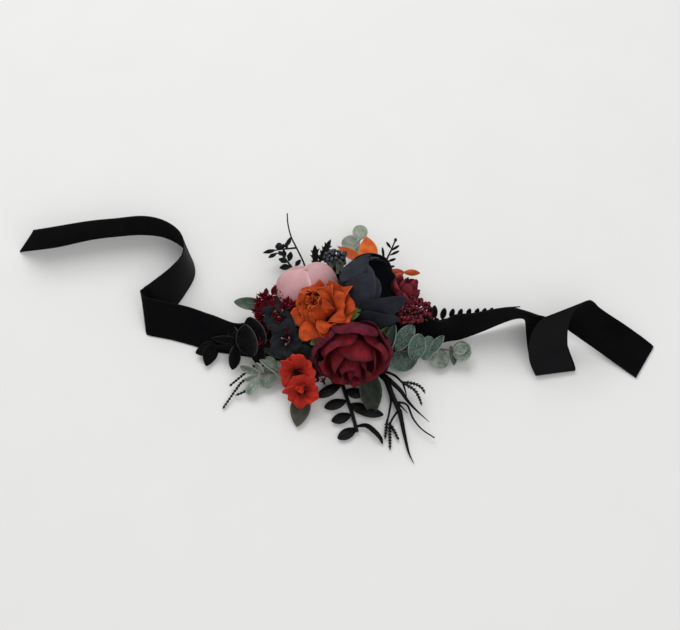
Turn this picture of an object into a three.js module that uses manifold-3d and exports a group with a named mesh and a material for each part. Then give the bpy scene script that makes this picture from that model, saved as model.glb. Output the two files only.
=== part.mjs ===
// A wrist corsage of paper and foam flowers on a velvet ribbon, laid out flat on a table.
// Millimetres, +Z up. The origin is the middle of the felt backing's underside, +X along the ribbon.
import * as THREE from "three";
import Module from "manifold-3d";

const wasm = await Module();
wasm.setup();

// Overall driving dimensions
const RIBBON_REACH = 200; // half of the length that the laid ribbon spans
const POSY_REACH = 75; // half of the width that flowers and foliage span
const CLEARANCE = 0.3; // gap kept between two glued neighbours
const TABLE_GAP = 0.4; // lowest point of a piece that lies on the table
const FACE_MERGE = 0.25; // faces this close to one plane are merged after a cut

// Ribbon
const RIBBON_WIDTH = 25;
const RIBBON_THICKNESS = 0.8;
const RIBBON_CUT_SLANT = 14; // how far the left end's cut runs along the ribbon
const RIBBON_STEPS = 2; // sections from one station to the next

// Felt ovals and the glue that the stems are set in
const PAD_LENGTH = 58;
const PAD_WIDTH = 45;
const FELT_THICKNESS = 1.2;
const PAD_SIDES = 28;
const GLUE_LENGTH = 50;
const GLUE_WIDTH = 38;
const GLUE_HEIGHT = 9;
const ROOT_LIFT = 2.5; // how high above the upper felt a stem's end is set in the glue
const ROOT_INSET = 3.5; // how far inside the glue's edge that end is

// Wired flower heads
const BURGUNDY_ROSE_RADIUS = 22;
const BURGUNDY_ROSE_DEPTH = 34;
const ORANGE_ROSE_RADIUS = 19;
const ORANGE_ROSE_DEPTH = 24;
const PEONY_RADIUS = 22.5;
const PEONY_DEPTH = 29;
const PINK_BUD_RADIUS = 19.5;
const PINK_BUD_DEPTH = 29;
const SMALL_ROSE_RADIUS = 10;
const SMALL_ROSE_DEPTH = 15.5;
const HEAD_STEM_RADIUS = 1.3;
const HEAD_STEM_SIDES = 6;
const SEPAL_WALL = 0.7;
const PETAL_WALL = 0.9;
const PETAL_STEPS = 3; // points round the rim of each petal

// Small open blossoms
const BLOSSOM_RADIUS = 11;
const BLOSSOM_DEPTH_SHARE = 0.8; // of the blossom's radius, as the next two are
const STAMEN_SPREAD_SHARE = 0.25;
const STAMEN_LENGTH_SHARE = 0.75;
const STAMEN_RADIUS = 0.5;
const STAMEN_COUNT = 3;

// Foliage, pips and berries on wires
const WIRE_RADIUS = 0.9;
const WIRE_TIP_RADIUS = 0.6;
const WIRE_SIDES = 4;
const LEAF_THICKNESS = 1;
const FERN_LEAF_WIDTH = 6;
const FRONT_LEAF_WIDTH = 12;
const OLIVE_LEAF_WIDTH = 11;
const DARK_LEAF_WIDTH = 9;
const LEFT_LEAF_WIDTH = 8;
const VELVET_LEAF_WIDTH = 9;
const LEFT_EUCALYPTUS_WIDTH = 9;
const RIGHT_EUCALYPTUS_WIDTH = 11;
const BACK_EUCALYPTUS_WIDTH = 11;
const RIGHT_FERN_LEAF_WIDTH = 3.5;
const ORANGE_LEAF_WIDTH = 13;
const SPIKY_LEAF_WIDTH = 6;
const BUD_LEAF_WIDTH = 4;
const SPRIG_LEAF_WIDTH = 3;
const RUST_LEAF_WIDTH = 5;
const BUD_RADIUS = 2.4;
const PIP_RADIUS = 3.1;
const BERRY_RADIUS = 2.4;

// Heights of the stack under the flowers
const UPPER_FELT = FELT_THICKNESS + RIBBON_THICKNESS;
const GLUE_FLOOR = UPPER_FELT + FELT_THICKNESS;
const ROOT_LEVEL = GLUE_FLOOR + ROOT_LIFT;

const UP = new THREE.Vector3(0, 0, 1);

function vector(list) {
  return new THREE.Vector3(...list);
}

// Place in the posy from shares of its reach
function place(shares) {
  return vector(shares).multiplyScalar(POSY_REACH);
}

function mix(a, b, share) {
  return a + (b - a) * share;
}

// Closed body between rings of equally many points, each end closed by a fan
function loft(rings) {
  const count = rings[0].length;
  const corners = [];
  for (let j = 1; j < count - 1; j += 1) corners.push(0, j + 1, j);
  for (let i = 0; i < rings.length - 1; i += 1) {
    for (let j = 0; j < count; j += 1) {
      const near = i * count + j;
      const next = i * count + ((j + 1) % count);
      corners.push(near, next, next + count, near, next + count, near + count);
    }
  }
  const last = (rings.length - 1) * count;
  for (let j = 1; j < count - 1; j += 1) corners.push(last, last + j, last + j + 1);
  const points = rings.flat();
  let volume = 0;
  for (let i = 0; i < corners.length; i += 3) {
    const [a, b, c] = [points[corners[i]], points[corners[i + 1]], points[corners[i + 2]]];
    volume += a.dot(new THREE.Vector3().crossVectors(b, c));
  }
  if (volume < 0) corners.reverse();
  return new wasm.Manifold(
    new wasm.Mesh({
      numProp: 3,
      vertProperties: new Float32Array(points.flatMap((p) => p.toArray())),
      triVerts: new Uint32Array(corners),
    }),
  );
}

function join(solids) {
  return solids.reduce((whole, solid) => whole.add(solid));
}

// Tube along points, tapering from its root to its tip
function stem(points, rootRadius, tipRadius = rootRadius, sides = WIRE_SIDES) {
  const rings = [];
  let across = new THREE.Vector3(0, 0, 1);
  points.forEach((point, i) => {
    const before = points[Math.max(i - 1, 0)];
    const after = points[Math.min(i + 1, points.length - 1)];
    const along = after.clone().sub(before).normalize();
    if (i === 0 && Math.abs(along.z) > Math.SQRT1_2) across.set(1, 0, 0);
    across = across.clone().addScaledVector(along, -across.dot(along)).normalize();
    const side = new THREE.Vector3().crossVectors(along, across);
    const radius = mix(rootRadius, tipRadius, i / (points.length - 1));
    const ring = [];
    for (let j = 0; j < sides; j += 1) {
      const angle = (2 * Math.PI * j) / sides;
      const offset = across.clone().multiplyScalar(Math.cos(angle) * radius);
      ring.push(offset.addScaledVector(side, Math.sin(angle) * radius).add(point));
    }
    rings.push(ring);
  });
  return loft(rings);
}

// Leaf blades: places along the blade and half widths, as shares of its length and half width
const ROUND_BLADE_SHARES = [[0, 0.2], [0.25, 0.8], [0.55, 1], [0.85, 0.7], [1, 0.15]];
const LONG_BLADE_SHARES = [[0, 0.2], [0.3, 0.9], [0.6, 0.9], [1, 0.06]];
const PETAL_BLADE_SHARES = [[0, 0.3], [0.4, 0.8], [0.75, 1], [1, 0.3]];

// Leaf with a lens section, from its base to its tip, facing the way that facing points
function leaf(base, tip, width, bladeShares, facing = UP) {
  const length = tip.distanceTo(base);
  const along = tip.clone().sub(base).normalize();
  const normal = facing.clone().addScaledVector(along, -facing.dot(along)).normalize();
  const side = new THREE.Vector3().crossVectors(normal, along);
  const rings = bladeShares.map(([lengthShare, widthShare]) => {
    const middle = base.clone().addScaledVector(along, length * lengthShare);
    const half = side.clone().multiplyScalar((width * widthShare) / 2);
    const rise = normal.clone().multiplyScalar((LEAF_THICKNESS * Math.sqrt(widthShare)) / 2);
    return [
      middle.clone().add(half),
      middle.clone().add(rise),
      middle.clone().sub(half),
      middle.clone().sub(rise),
    ];
  });
  return loft(rings);
}

// Faceted bead
function bead(centre, radius) {
  const sides = 5;
  const levels = 3;
  const rings = [];
  for (let i = 0; i < levels; i += 1) {
    const polar = (Math.PI * (i + 1 / 2)) / levels;
    const ring = [];
    for (let j = 0; j < sides; j += 1) {
      const angle = (2 * Math.PI * j) / sides;
      const offset = new THREE.Vector3().setFromSphericalCoords(radius, polar, angle);
      ring.push(new THREE.Vector3(offset.x, offset.z, offset.y).add(centre));
    }
    rings.push(ring);
  }
  return loft(rings);
}

// Nearest point of a polyline to a target, and the stretch that it lies on
function nearestOn(points, target) {
  let best = { distance: Infinity };
  for (let i = 0; i < points.length - 1; i += 1) {
    const line = new THREE.Line3(points[i], points[i + 1]);
    const point = line.closestPointToPoint(target, true, new THREE.Vector3());
    const distance = point.distanceTo(target);
    if (distance < best.distance) best = { distance, point, line };
  }
  return best;
}

// Where a leaf leaves its stem: behind the point nearest to its tip
function leafBase(stems, tip, leanShare) {
  const nearest = stems
    .map((points) => nearestOn(points, tip))
    .reduce((a, b) => (b.distance < a.distance ? b : a));
  const { line, point, distance } = nearest;
  const back = Math.min(distance * leanShare, point.distanceTo(line.start));
  const towards = line.start.clone().sub(line.end).normalize();
  return point.clone().addScaledVector(towards, back);
}

// Where a stem that is bound for this point is set in the glue
function rootBelow(point) {
  const angle = Math.atan2(point.y / GLUE_WIDTH, point.x / GLUE_LENGTH);
  const x = (GLUE_LENGTH / 2 - ROOT_INSET) * Math.cos(angle);
  const y = (GLUE_WIDTH / 2 - ROOT_INSET) * Math.sin(angle);
  return new THREE.Vector3(x, y, ROOT_LEVEL);
}

// Spray of leaves on one stem with branches; the first stem starts in the glue
function spray(plan) {
  const stems = plan.stemShares.map((points) => points.map(place));
  stems[0].unshift(rootBelow(stems[0][0]));
  const parts = stems.map((points) => stem(points, WIRE_RADIUS, WIRE_TIP_RADIUS));
  (plan.tipShares ?? []).forEach((shares) => {
    const tip = place(shares);
    const base = leafBase(stems, tip, plan.leanShare);
    const facing = plan.facing ? vector(plan.facing) : UP;
    parts.push(leaf(base, tip, plan.leafWidth, plan.blade, facing));
  });
  (plan.beadShares ?? []).forEach((shares) => {
    const centre = place(shares);
    const base = leafBase(stems, centre, plan.leanShare);
    parts.push(stem([base, centre], WIRE_TIP_RADIUS), bead(centre, plan.beadRadius));
  });
  return join(parts);
}

// Basis of a flower head: its axis points out of the flower's face
function headFrame(head) {
  const axis = vector(head.axis).normalize();
  const turn = new THREE.Quaternion().setFromUnitVectors(UP, axis);
  return { axis, turn, centre: place(head.placeShares) };
}

// Layer of petals: a lobed cup. Its profile runs from the seat to the rim, as shares of the
// head's radius and of its depth above that seat. The lobes are the petals, and each laps
// over the next.
function petalCup(head, layer) {
  const { turn, centre } = headFrame(head);
  const { petals, stepsPerPetal = PETAL_STEPS } = layer;
  const around = petals * stepsPerPetal;
  const outside = layer.profileShares.map(([r, z]) => [
    r * head.radius,
    mix(layer.seat, head.depth, z),
  ]);
  const rim = outside.length - 1;
  const inside = outside.map(([r, z], i) => {
    const [r0, z0] = outside[Math.max(i - 1, 0)];
    const [r1, z1] = outside[Math.min(i + 1, rim)];
    const slope = Math.hypot(r1 - r0, z1 - z0);
    const inwards = (layer.wall * (z1 - z0)) / slope;
    return [Math.max(r - inwards, r / 2), z + (layer.wall * (r1 - r0)) / slope];
  });
  const ring = ([radius, height], i) => {
    const grow = i / rim;
    const points = [];
    for (let j = 0; j < around; j += 1) {
      const angle = (2 * Math.PI * (j / stepsPerPetal + layer.turnShare)) / petals;
      const phase = (j % stepsPerPetal) / stepsPerPetal;
      const notch = (layer.notchShare * (1 + Math.cos(2 * Math.PI * phase))) / 2;
      const lap = layer.lapShare * (1 / 2 - phase);
      const r = radius * (1 + (lap - notch) * grow);
      const z = height * (1 - notch * grow) - head.depth / 2;
      const local = new THREE.Vector3(r * Math.cos(angle), r * Math.sin(angle), z);
      points.push(local.applyQuaternion(turn).add(centre));
    }
    return points;
  };
  const outer = outside.map(ring);
  const inner = inside.map(ring).reverse();
  return loft([...outer, ...inner]);
}

// Green cup under a head with its sepals, and the wire stem down into the glue
function calyx(head) {
  const { axis, centre } = headFrame(head);
  const cup = petalCup(head, {
    petals: 5,
    stepsPerPetal: 2,
    wall: SEPAL_WALL,
    seat: -SEPAL_WALL - CLEARANCE,
    profileShares: CALYX_SHARES,
    notchShare: head.sepalNotchShare,
    lapShare: 0,
    turnShare: head.sepalTurnShare,
  });
  const top = centre.clone().addScaledVector(axis, -head.depth / 2 - CLEARANCE - SEPAL_WALL / 2);
  const below = top.clone().addScaledVector(axis, -HEAD_STEM_RADIUS * 2);
  const root = rootBelow(top).lerp(top, 1 / 2);
  root.setZ(ROOT_LEVEL);
  const wire = stem([top, below, root], HEAD_STEM_RADIUS, HEAD_STEM_RADIUS, HEAD_STEM_SIDES);
  return join([cup, wire]);
}

// Stamens: a stalk in the throat with a few short threads
function stamens(head) {
  const { axis, turn, centre } = headFrame(head);
  const height = PETAL_WALL + CLEARANCE + STAMEN_RADIUS * 2 - head.depth / 2;
  const base = centre.clone().addScaledVector(axis, height);
  const parts = [bead(base, STAMEN_RADIUS * 2)];
  const spread = head.radius * STAMEN_SPREAD_SHARE;
  for (let i = 0; i < STAMEN_COUNT; i += 1) {
    const angle = (2 * Math.PI * i) / STAMEN_COUNT;
    const lean = new THREE.Vector3(Math.cos(angle), Math.sin(angle), 0);
    const tip = lean.multiplyScalar(spread).applyQuaternion(turn).add(base);
    tip.addScaledVector(axis, head.stamenLength);
    parts.push(stem([base, tip], STAMEN_RADIUS));
  }
  return join(parts);
}

// The solid grown by the clearance on every side, which its neighbours are cut with
function grown(solid) {
  const mesh = solid.getMesh();
  const points = mesh.vertProperties;
  const corners = mesh.triVerts;
  const count = points.length / 3;
  const sums = Array.from({ length: count }, () => new Array(9).fill(0));
  const at = (i) => new THREE.Vector3(points[3 * i], points[3 * i + 1], points[3 * i + 2]);
  for (let i = 0; i < corners.length; i += 3) {
    const abc = [corners[i], corners[i + 1], corners[i + 2]];
    const [a, b, c] = abc.map(at);
    const normal = new THREE.Vector3().crossVectors(b.clone().sub(a), c.clone().sub(a));
    if (normal.lengthSq() === 0) continue;
    const n = normal.normalize();
    abc.forEach((vertex, k) => {
      const to = [a, b, c][(k + 1) % 3].clone().sub([a, b, c][k]);
      const from = [a, b, c][(k + 2) % 3].clone().sub([a, b, c][k]);
      const angle = to.angleTo(from);
      const sum = sums[vertex];
      [n.x * n.x, n.x * n.y, n.x * n.z, n.y * n.y, n.y * n.z, n.z * n.z, n.x, n.y, n.z].forEach(
        (value, m) => {
          sum[m] += value * angle;
        },
      );
    });
  }
  const steadyShare = 0.02;
  const reachLimit = 2.5 * CLEARANCE;
  const moved = new Float32Array(points.length);
  sums.forEach(([xx, xy, xz, yy, yz, zz, x, y, z], i) => {
    const steady = (xx + yy + zz) * steadyShare;
    const matrix = new THREE.Matrix3();
    matrix.set(xx + steady, xy, xz, xy, yy + steady, yz, xz, yz, zz + steady).invert();
    const shift = new THREE.Vector3(x, y, z).applyMatrix3(matrix).multiplyScalar(CLEARANCE);
    shift.clampLength(0, reachLimit);
    at(i).add(shift).toArray(moved, 3 * i);
  });
  return new wasm.Manifold(
    new wasm.Mesh({ numProp: 3, vertProperties: moved, triVerts: corners }),
  );
}

function boxesMeet(a, b) {
  const [p, q] = [a.boundingBox(), b.boundingBox()];
  return [0, 1, 2].every((k) => p.min[k] < q.max[k] && q.min[k] < p.max[k]);
}

const corsage = new THREE.Group();
const placed = [];

// Add a piece: it is cut back from every piece placed before it, and its main body is kept
function addPiece(name, solid, finish) {
  let body = solid;
  placed.forEach((other) => {
    if (boxesMeet(body, other)) body = body.subtract(other);
  });
  body = body.asOriginal().simplify(FACE_MERGE);
  body = body.decompose().reduce((a, b) => (b.volume() > a.volume() ? b : a));
  placed.push(grown(solid));
  const { vertProperties, triVerts } = body.getMesh();
  const geometry = new THREE.BufferGeometry();
  geometry.setAttribute("position", new THREE.BufferAttribute(vertProperties, 3));
  geometry.setIndex(new THREE.BufferAttribute(triVerts, 1));
  geometry.computeVertexNormals();
  const { color, roughness = 0.8, metalness = 0 } = finish;
  const material = new THREE.MeshStandardMaterial({ color, roughness, metalness });
  const mesh = new THREE.Mesh(geometry, material);
  mesh.name = name;
  corsage.add(mesh);
}

const VELVET = { color: 0x0b0b0d, roughness: 0.95 };
const FELT = { color: 0x16161a, roughness: 0.98 };
const GLUE = { color: 0xcfc8b8, roughness: 0.35 };
const BURGUNDY = { color: 0x66182a };
const BURNT_ORANGE = { color: 0xb4511e };
const CHARCOAL = { color: 0x2b2d34 };
const DUSTY_PINK = { color: 0xcb9fa4 };
const RED_ORANGE = { color: 0xc8321c };
const ANTHER = { color: 0x30181c, roughness: 0.6 };
const PIP_RED = { color: 0x7a1a2c, roughness: 0.55 };
const BERRY_BLACK = { color: 0x17171c, roughness: 0.5 };
const EUCALYPTUS = { color: 0x69826f };
const SAGE = { color: 0xa2ae9f };
const DEEP_GREEN = { color: 0x3b4f3d };
const OLIVE = { color: 0x4a4a3e };
const SEPAL_GREEN = { color: 0x7d9243 };
const LEAF_ORANGE = { color: 0xdc7223 };
const RUST = { color: 0xae3c14 };
const BLACK_LEAF = { color: 0x18181a, roughness: 0.6 };

// Ribbon stations from the left end to the right end. Each has the lower edge's place in
// plan as shares of the ribbon's reach, that edge's height as a share of the ribbon's width,
// and the way from the lower edge to the upper edge.
const LEFT_STATION_SHARES = [
  [-1.0, 0.345, 0, [0, -0.05, 1]],
  [-0.915, 0.358, 0, [0, -0.03, 1]],
  [-0.807, 0.386, 0, [0.1, -0.06, 0.99]],
  [-0.727, 0.398, 0, [0.1, -0.08, 0.99]],
  [-0.635, 0.405, 0, [0.12, -0.06, 0.99]],
  [-0.555, 0.39, 0, [0.05, -0.1, 0.99]],
  [-0.491, 0.34, 0, [-0.06, -0.07, 0.99]],
  [-0.462, 0.26, 0, [-0.21, 0.04, 0.98]],
  [-0.493, 0.178, 0, [-0.24, 0.31, 0.92]],
  [-0.54, 0.105, 0, [-0.36, 0.54, 0.76]],
  [-0.566, 0.074, 0, [-0.37, 0.76, 0.52]],
  [-0.588, 0.06, 0, [-0.26, 0.79, 0.55]],
  [-0.602, 0.05, 0, [-0.13, 0.78, 0.61]],
  [-0.602, 0.04, 0, [-0.07, 0.74, 0.67]],
  [-0.59, 0.033, 0, [-0.05, 0.7, 0.71]],
  [-0.528, 0.02, 0, [-0.03, 0.65, 0.75]],
  [-0.46, 0, 0, [-0.05, 0.71, 0.7]],
  [-0.387, -0.022, 0, [-0.07, 0.64, 0.77]],
  [-0.306, -0.036, 0, [-0.02, 0.42, 0.91]],
  [-0.225, -0.05, 0.01, [0, 0.8, 0.6]],
];
const RIGHT_STATION_SHARES = [
  [0.23, -0.03, 0.01, [-0.05, 0.75, 0.65]],
  [0.33, 0.01, 0, [-0.18, 0.08, 0.98]],
  [0.38, 0.02, 0, [-0.16, 0.18, 0.97]],
  [0.42, 0.033, 0.02, [-0.08, 0.09, 0.99]],
  [0.465, 0.05, 0.06, [0, 0.02, 1]],
  [0.511, 0.068, 0.12, [-0.1, -0.1, 0.99]],
  [0.557, 0.083, 0.16, [-0.2, -0.2, 0.96]],
  [0.588, 0.085, 0.12, [-0.12, -0.28, 0.95]],
  [0.594, 0.064, 0.04, [0.15, -0.2, 0.97]],
  [0.594, 0.03, 0.02, [0.5, 0, 0.86]],
  [0.595, -0.016, 0.02, [0.8, 0.1, 0.6]],
  [0.6, -0.056, 0.02, [0.95, 0.1, 0.3]],
  [0.612, -0.094, 0.02, [0.99, 0.13, 0.08]],
  [0.612, -0.11, 0.09, [0.99, 0.14, 0]],
  [0.604, -0.104, 0.2, [0.98, 0.18, 0]],
  [0.592, -0.079, 0.34, [0.97, 0.25, 0.04]],
  [0.586, -0.057, 0.6, [0.96, 0.27, 0.08]],
  [0.588, -0.033, 0.86, [0.95, 0.31, 0.1]],
  [0.602, -0.007, 1.08, [0.93, 0.34, 0.12]],
  [0.627, 0.014, 1.22, [0.93, 0.32, 0.14]],
  [0.655, 0.026, 1.1, [0.9, 0.3, 0.3]],
  [0.678, 0.03, 0.85, [0.86, 0.27, 0.43]],
  [0.706, 0.025, 0.56, [0.8, 0.25, 0.54]],
  [0.755, 0.002, 0.32, [0.83, 0.32, 0.46]],
  [0.817, -0.037, 0.16, [0.84, 0.48, 0.25]],
  [0.877, -0.079, 0.06, [0.74, 0.67, 0.07]],
  [0.924, -0.115, 0.02, [0.52, 0.86, 0]],
];

// Sections of the strip along a smooth curve through some of the stations
function stripSections(stations) {
  const edges = new THREE.CatmullRomCurve3(stations.map((s) => s.edge), false, "catmullrom");
  const ways = new THREE.CatmullRomCurve3(stations.map((s) => s.across), false, "catmullrom");
  const steps = (stations.length - 1) * RIBBON_STEPS;
  return Array.from({ length: steps + 1 }, (_, i) => {
    const lower = edges.getPoint(i / steps);
    lower.setZ(Math.max(lower.z, TABLE_GAP));
    const across = ways.getPoint(i / steps).normalize();
    return { lower, across, along: edges.getTangent(i / steps) };
  });
}

// The whole ribbon in one strip, level between the two felt ovals
function ribbon() {
  const level = FELT_THICKNESS + RIBBON_THICKNESS / 2;
  const station = ([x, y, lift, across]) => ({
    edge: new THREE.Vector3(x * RIBBON_REACH, y * RIBBON_REACH, TABLE_GAP + lift * RIBBON_WIDTH),
    across: vector(across).normalize(),
  });
  const padded = (x) => ({
    edge: new THREE.Vector3(x, -RIBBON_WIDTH / 2, level),
    across: new THREE.Vector3(0, 1, 0),
  });
  const left = stripSections([...LEFT_STATION_SHARES.map(station), padded(-PAD_LENGTH / 2)]);
  const right = stripSections([padded(PAD_LENGTH / 2), ...RIGHT_STATION_SHARES.map(station)]);
  left.at(-1).along.set(1, 0, 0);
  right[0].along.set(1, 0, 0);
  const rings = [...left, ...right].map(({ lower, across, along }, i) => {
    const upper = lower.clone().addScaledVector(across, RIBBON_WIDTH);
    if (i === 0) {
      lower.addScaledVector(along, -RIBBON_CUT_SLANT / 2);
      upper.addScaledVector(along, RIBBON_CUT_SLANT / 2);
    }
    const face = new THREE.Vector3().crossVectors(along, across).normalize();
    face.multiplyScalar(RIBBON_THICKNESS / 2);
    return [
      lower.clone().sub(face),
      upper.clone().sub(face),
      upper.clone().add(face),
      lower.clone().add(face),
    ];
  });
  return loft(rings);
}

// Oval slab, from one height up to another
function oval(length, width, from, to) {
  const ring = (z) => {
    const points = [];
    for (let j = 0; j < PAD_SIDES; j += 1) {
      const angle = (2 * Math.PI * j) / PAD_SIDES;
      const x = (length / 2) * Math.cos(angle);
      points.push(new THREE.Vector3(x, (width / 2) * Math.sin(angle), z));
    }
    return points;
  };
  return loft([ring(from), ring(to)]);
}

// Glue dome on the upper felt, as shares of its half size and height
const GLUE_PROFILE_SHARES = [[1, 0], [0.97, 0.35], [0.8, 0.75], [0.45, 0.97], [0.12, 1]];

function glueBed() {
  const from = GLUE_FLOOR + CLEARANCE;
  const rings = GLUE_PROFILE_SHARES.map(([widthShare, heightShare]) => {
    const points = [];
    for (let j = 0; j < PAD_SIDES; j += 1) {
      const angle = (2 * Math.PI * j) / PAD_SIDES;
      const x = (GLUE_LENGTH / 2) * widthShare * Math.cos(angle);
      const y = (GLUE_WIDTH / 2) * widthShare * Math.sin(angle);
      points.push(new THREE.Vector3(x, y, from + GLUE_HEIGHT * heightShare));
    }
    return points;
  });
  return loft(rings);
}

addPiece("velvet_ribbon", ribbon(), VELVET);
addPiece("felt_backing", oval(PAD_LENGTH, PAD_WIDTH, 0, FELT_THICKNESS), FELT);
addPiece("felt_pad", oval(PAD_LENGTH, PAD_WIDTH, UPPER_FELT, GLUE_FLOOR), FELT);

// Foliage, from the lowest sprays up. Places are shares of the posy's reach.
const SPRAYS = [
  {
    name: "black_fern_front",
    finish: BLACK_LEAF,
    stemShares: [[[0.02, -0.28, 0.08], [0.05, -0.43, 0.05], [0.11, -0.62, 0.04], [0.15, -0.8, 0.03]]],
    tipShares: [
      [-0.17, -0.45, 0.05], [-0.11, -0.57, 0.05], [-0.05, -0.7, 0.04], [0, -0.86, 0.03],
      [0.19, -0.51, 0.04], [0.25, -0.63, 0.03], [0.36, -0.66, 0.03], [0.36, -0.9, 0.03],
    ],
    leanShare: 0.6,
    leafWidth: FERN_LEAF_WIDTH,
    blade: LONG_BLADE_SHARES,
  },
  {
    name: "green_leaf_front",
    finish: DEEP_GREEN,
    stemShares: [[[0.27, -0.3, 0.07], [0.28, -0.4, 0.05]]],
    tipShares: [[0.27, -0.63, 0.03]],
    leanShare: 0,
    leafWidth: FRONT_LEAF_WIDTH,
    blade: LONG_BLADE_SHARES,
  },
  {
    name: "black_needles_right",
    finish: BLACK_LEAF,
    stemShares: [
      [[0.35, -0.28, 0.1], [0.4, -0.44, 0.08], [0.49, -0.64, 0.07], [0.61, -1.06, 0.02]],
      [[0.36, -0.3, 0.1], [0.46, -0.43, 0.12], [0.73, -0.74, 0.09]],
      [[0.47, -0.6, 0.07], [0.62, -0.72, 0.08], [0.77, -0.85, 0.05]],
      [[0.36, -0.3, 0.1], [0.52, -0.38, 0.14], [0.69, -0.59, 0.12]],
      [[0.52, -0.38, 0.14], [0.72, -0.49, 0.13]],
      [[0.4, -0.44, 0.08], [0.41, -0.71, 0.05], [0.42, -0.94, 0.02]],
      [[0.41, -0.71, 0.05], [0.36, -0.9, 0.02]],
      [[0.41, -0.71, 0.05], [0.49, -0.87, 0.03]],
    ],
  },
  {
    name: "black_needles_left",
    finish: BLACK_LEAF,
    stemShares: [
      [[-0.45, -0.12, 0.1], [-0.6, -0.19, 0.12], [-0.75, -0.3, 0.09], [-0.88, -0.41, 0.05]],
      [[-0.6, -0.19, 0.12], [-0.75, -0.38, 0.07], [-0.95, -0.6, 0.02]],
      [[-0.68, -0.29, 0.095], [-0.74, -0.42, 0.05], [-0.84, -0.48, 0.03]],
    ],
  },
  {
    name: "eucalyptus_left",
    finish: EUCALYPTUS,
    stemShares: [[[-0.4, -0.28, 0.09], [-0.57, -0.31, 0.1], [-0.68, -0.33, 0.08]]],
    tipShares: [
      [-0.81, -0.25, 0.12], [-0.72, -0.46, 0.04], [-0.62, -0.2, 0.16], [-0.54, -0.43, 0.05],
    ],
    leanShare: 0.4,
    leafWidth: LEFT_EUCALYPTUS_WIDTH,
    blade: ROUND_BLADE_SHARES,
  },
  {
    name: "eucalyptus_right",
    finish: EUCALYPTUS,
    stemShares: [[[0.35, -0.06, 0.12], [0.6, -0.14, 0.14], [0.8, -0.14, 0.12], [0.98, -0.12, 0.1]]],
    tipShares: [
      [0.48, 0.06, 0.2], [0.54, -0.32, 0.05], [0.66, 0.02, 0.21], [0.79, 0, 0.21],
      [0.71, -0.29, 0.05], [0.9, -0.01, 0.18], [0.86, -0.25, 0.04], [1, -0.22, 0.05],
      [1.11, -0.1, 0.09],
    ],
    leanShare: 0.5,
    leafWidth: RIGHT_EUCALYPTUS_WIDTH,
    blade: ROUND_BLADE_SHARES,
  },
  {
    name: "velvet_leaf_spray",
    finish: BLACK_LEAF,
    stemShares: [[[-0.58, -0.12, 0.22], [-0.81, -0.12, 0.19], [-1.03, -0.12, 0.14]]],
    tipShares: [
      [-0.79, 0.08, 0.42], [-0.93, 0, 0.31], [-1.18, -0.1, 0.07], [-1.09, -0.22, 0.04],
      [-0.89, -0.27, 0.04], [-0.66, -0.2, 0.1],
    ],
    leanShare: 0.4,
    leafWidth: VELVET_LEAF_WIDTH,
    blade: LONG_BLADE_SHARES,
  },
  {
    name: "green_leaf_left",
    finish: DEEP_GREEN,
    stemShares: [[[-0.5, 0.27, 0.13], [-0.64, 0.3, 0.17]]],
    tipShares: [[-0.87, 0.32, 0.17]],
    leanShare: 0,
    leafWidth: LEFT_LEAF_WIDTH,
    blade: LONG_BLADE_SHARES,
  },
  {
    name: "olive_leaf_front",
    finish: OLIVE,
    stemShares: [[[-0.24, -0.34, 0.07], [-0.29, -0.47, 0.05]]],
    tipShares: [[-0.33, -0.76, 0.03]],
    leanShare: 0,
    leafWidth: OLIVE_LEAF_WIDTH,
    blade: LONG_BLADE_SHARES,
  },
  {
    name: "dark_leaf_left",
    finish: DEEP_GREEN,
    stemShares: [[[-0.33, -0.17, 0.12], [-0.4, -0.17, 0.13]]],
    tipShares: [[-0.6, -0.12, 0.17]],
    leanShare: 0,
    leafWidth: DARK_LEAF_WIDTH,
    blade: LONG_BLADE_SHARES,
  },
  {
    name: "black_fern_right",
    finish: BLACK_LEAF,
    stemShares: [
      [[0.6, 0.08, 0.12], [0.85, 0.14, 0.24], [1.1, 0.185, 0.27], [1.36, 0.205, 0.28], [1.5, 0.19, 0.33]],
    ],
    facing: [0, -1, 0.5],
    tipShares: [
      [0.86, 0.15, 0.36], [0.93, 0.15, 0.36], [1, 0.155, 0.36], [1.07, 0.16, 0.36],
      [1.14, 0.165, 0.36], [1.21, 0.17, 0.36], [1.29, 0.175, 0.36],
    ],
    leanShare: 0.5,
    leafWidth: RIGHT_FERN_LEAF_WIDTH,
    blade: LONG_BLADE_SHARES,
  },
  {
    name: "eucalyptus_back",
    finish: SAGE,
    stemShares: [[[0.1, 0.5, 0.1], [0.13, 0.74, 0.16], [0.17, 0.98, 0.19]]],
    tipShares: [[0, 0.93, 0.2], [0.05, 0.74, 0.2], [0.25, 0.87, 0.18], [0.25, 1.1, 0.19]],
    leanShare: 0.5,
    leafWidth: BACK_EUCALYPTUS_WIDTH,
    blade: ROUND_BLADE_SHARES,
  },
  {
    name: "orange_leaves_back",
    finish: LEAF_ORANGE,
    stemShares: [[[0.17, 0.5, 0.2], [0.2, 0.66, 0.27]]],
    tipShares: [[0.26, 0.93, 0.3], [-0.02, 0.82, 0.3]],
    leanShare: 0,
    leafWidth: ORANGE_LEAF_WIDTH,
    blade: PETAL_BLADE_SHARES,
  },
  {
    name: "spiky_leaves_back",
    finish: BLACK_LEAF,
    stemShares: [[[-0.12, 0.45, 0.12], [-0.16, 0.64, 0.2]]],
    tipShares: [[-0.22, 0.84, 0.26], [-0.06, 0.88, 0.27]],
    leanShare: 0,
    leafWidth: SPIKY_LEAF_WIDTH,
    blade: LONG_BLADE_SHARES,
  },
  {
    name: "bud_sprig_back_left",
    finish: BLACK_LEAF,
    stemShares: [
      [[-0.22, 0.5, 0.1], [-0.36, 0.82, 0.2], [-0.41, 0.95, 0.23], [-0.45, 1.18, 0.24]],
      [[-0.33, 0.75, 0.18], [-0.5, 0.8, 0.16]],
    ],
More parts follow.
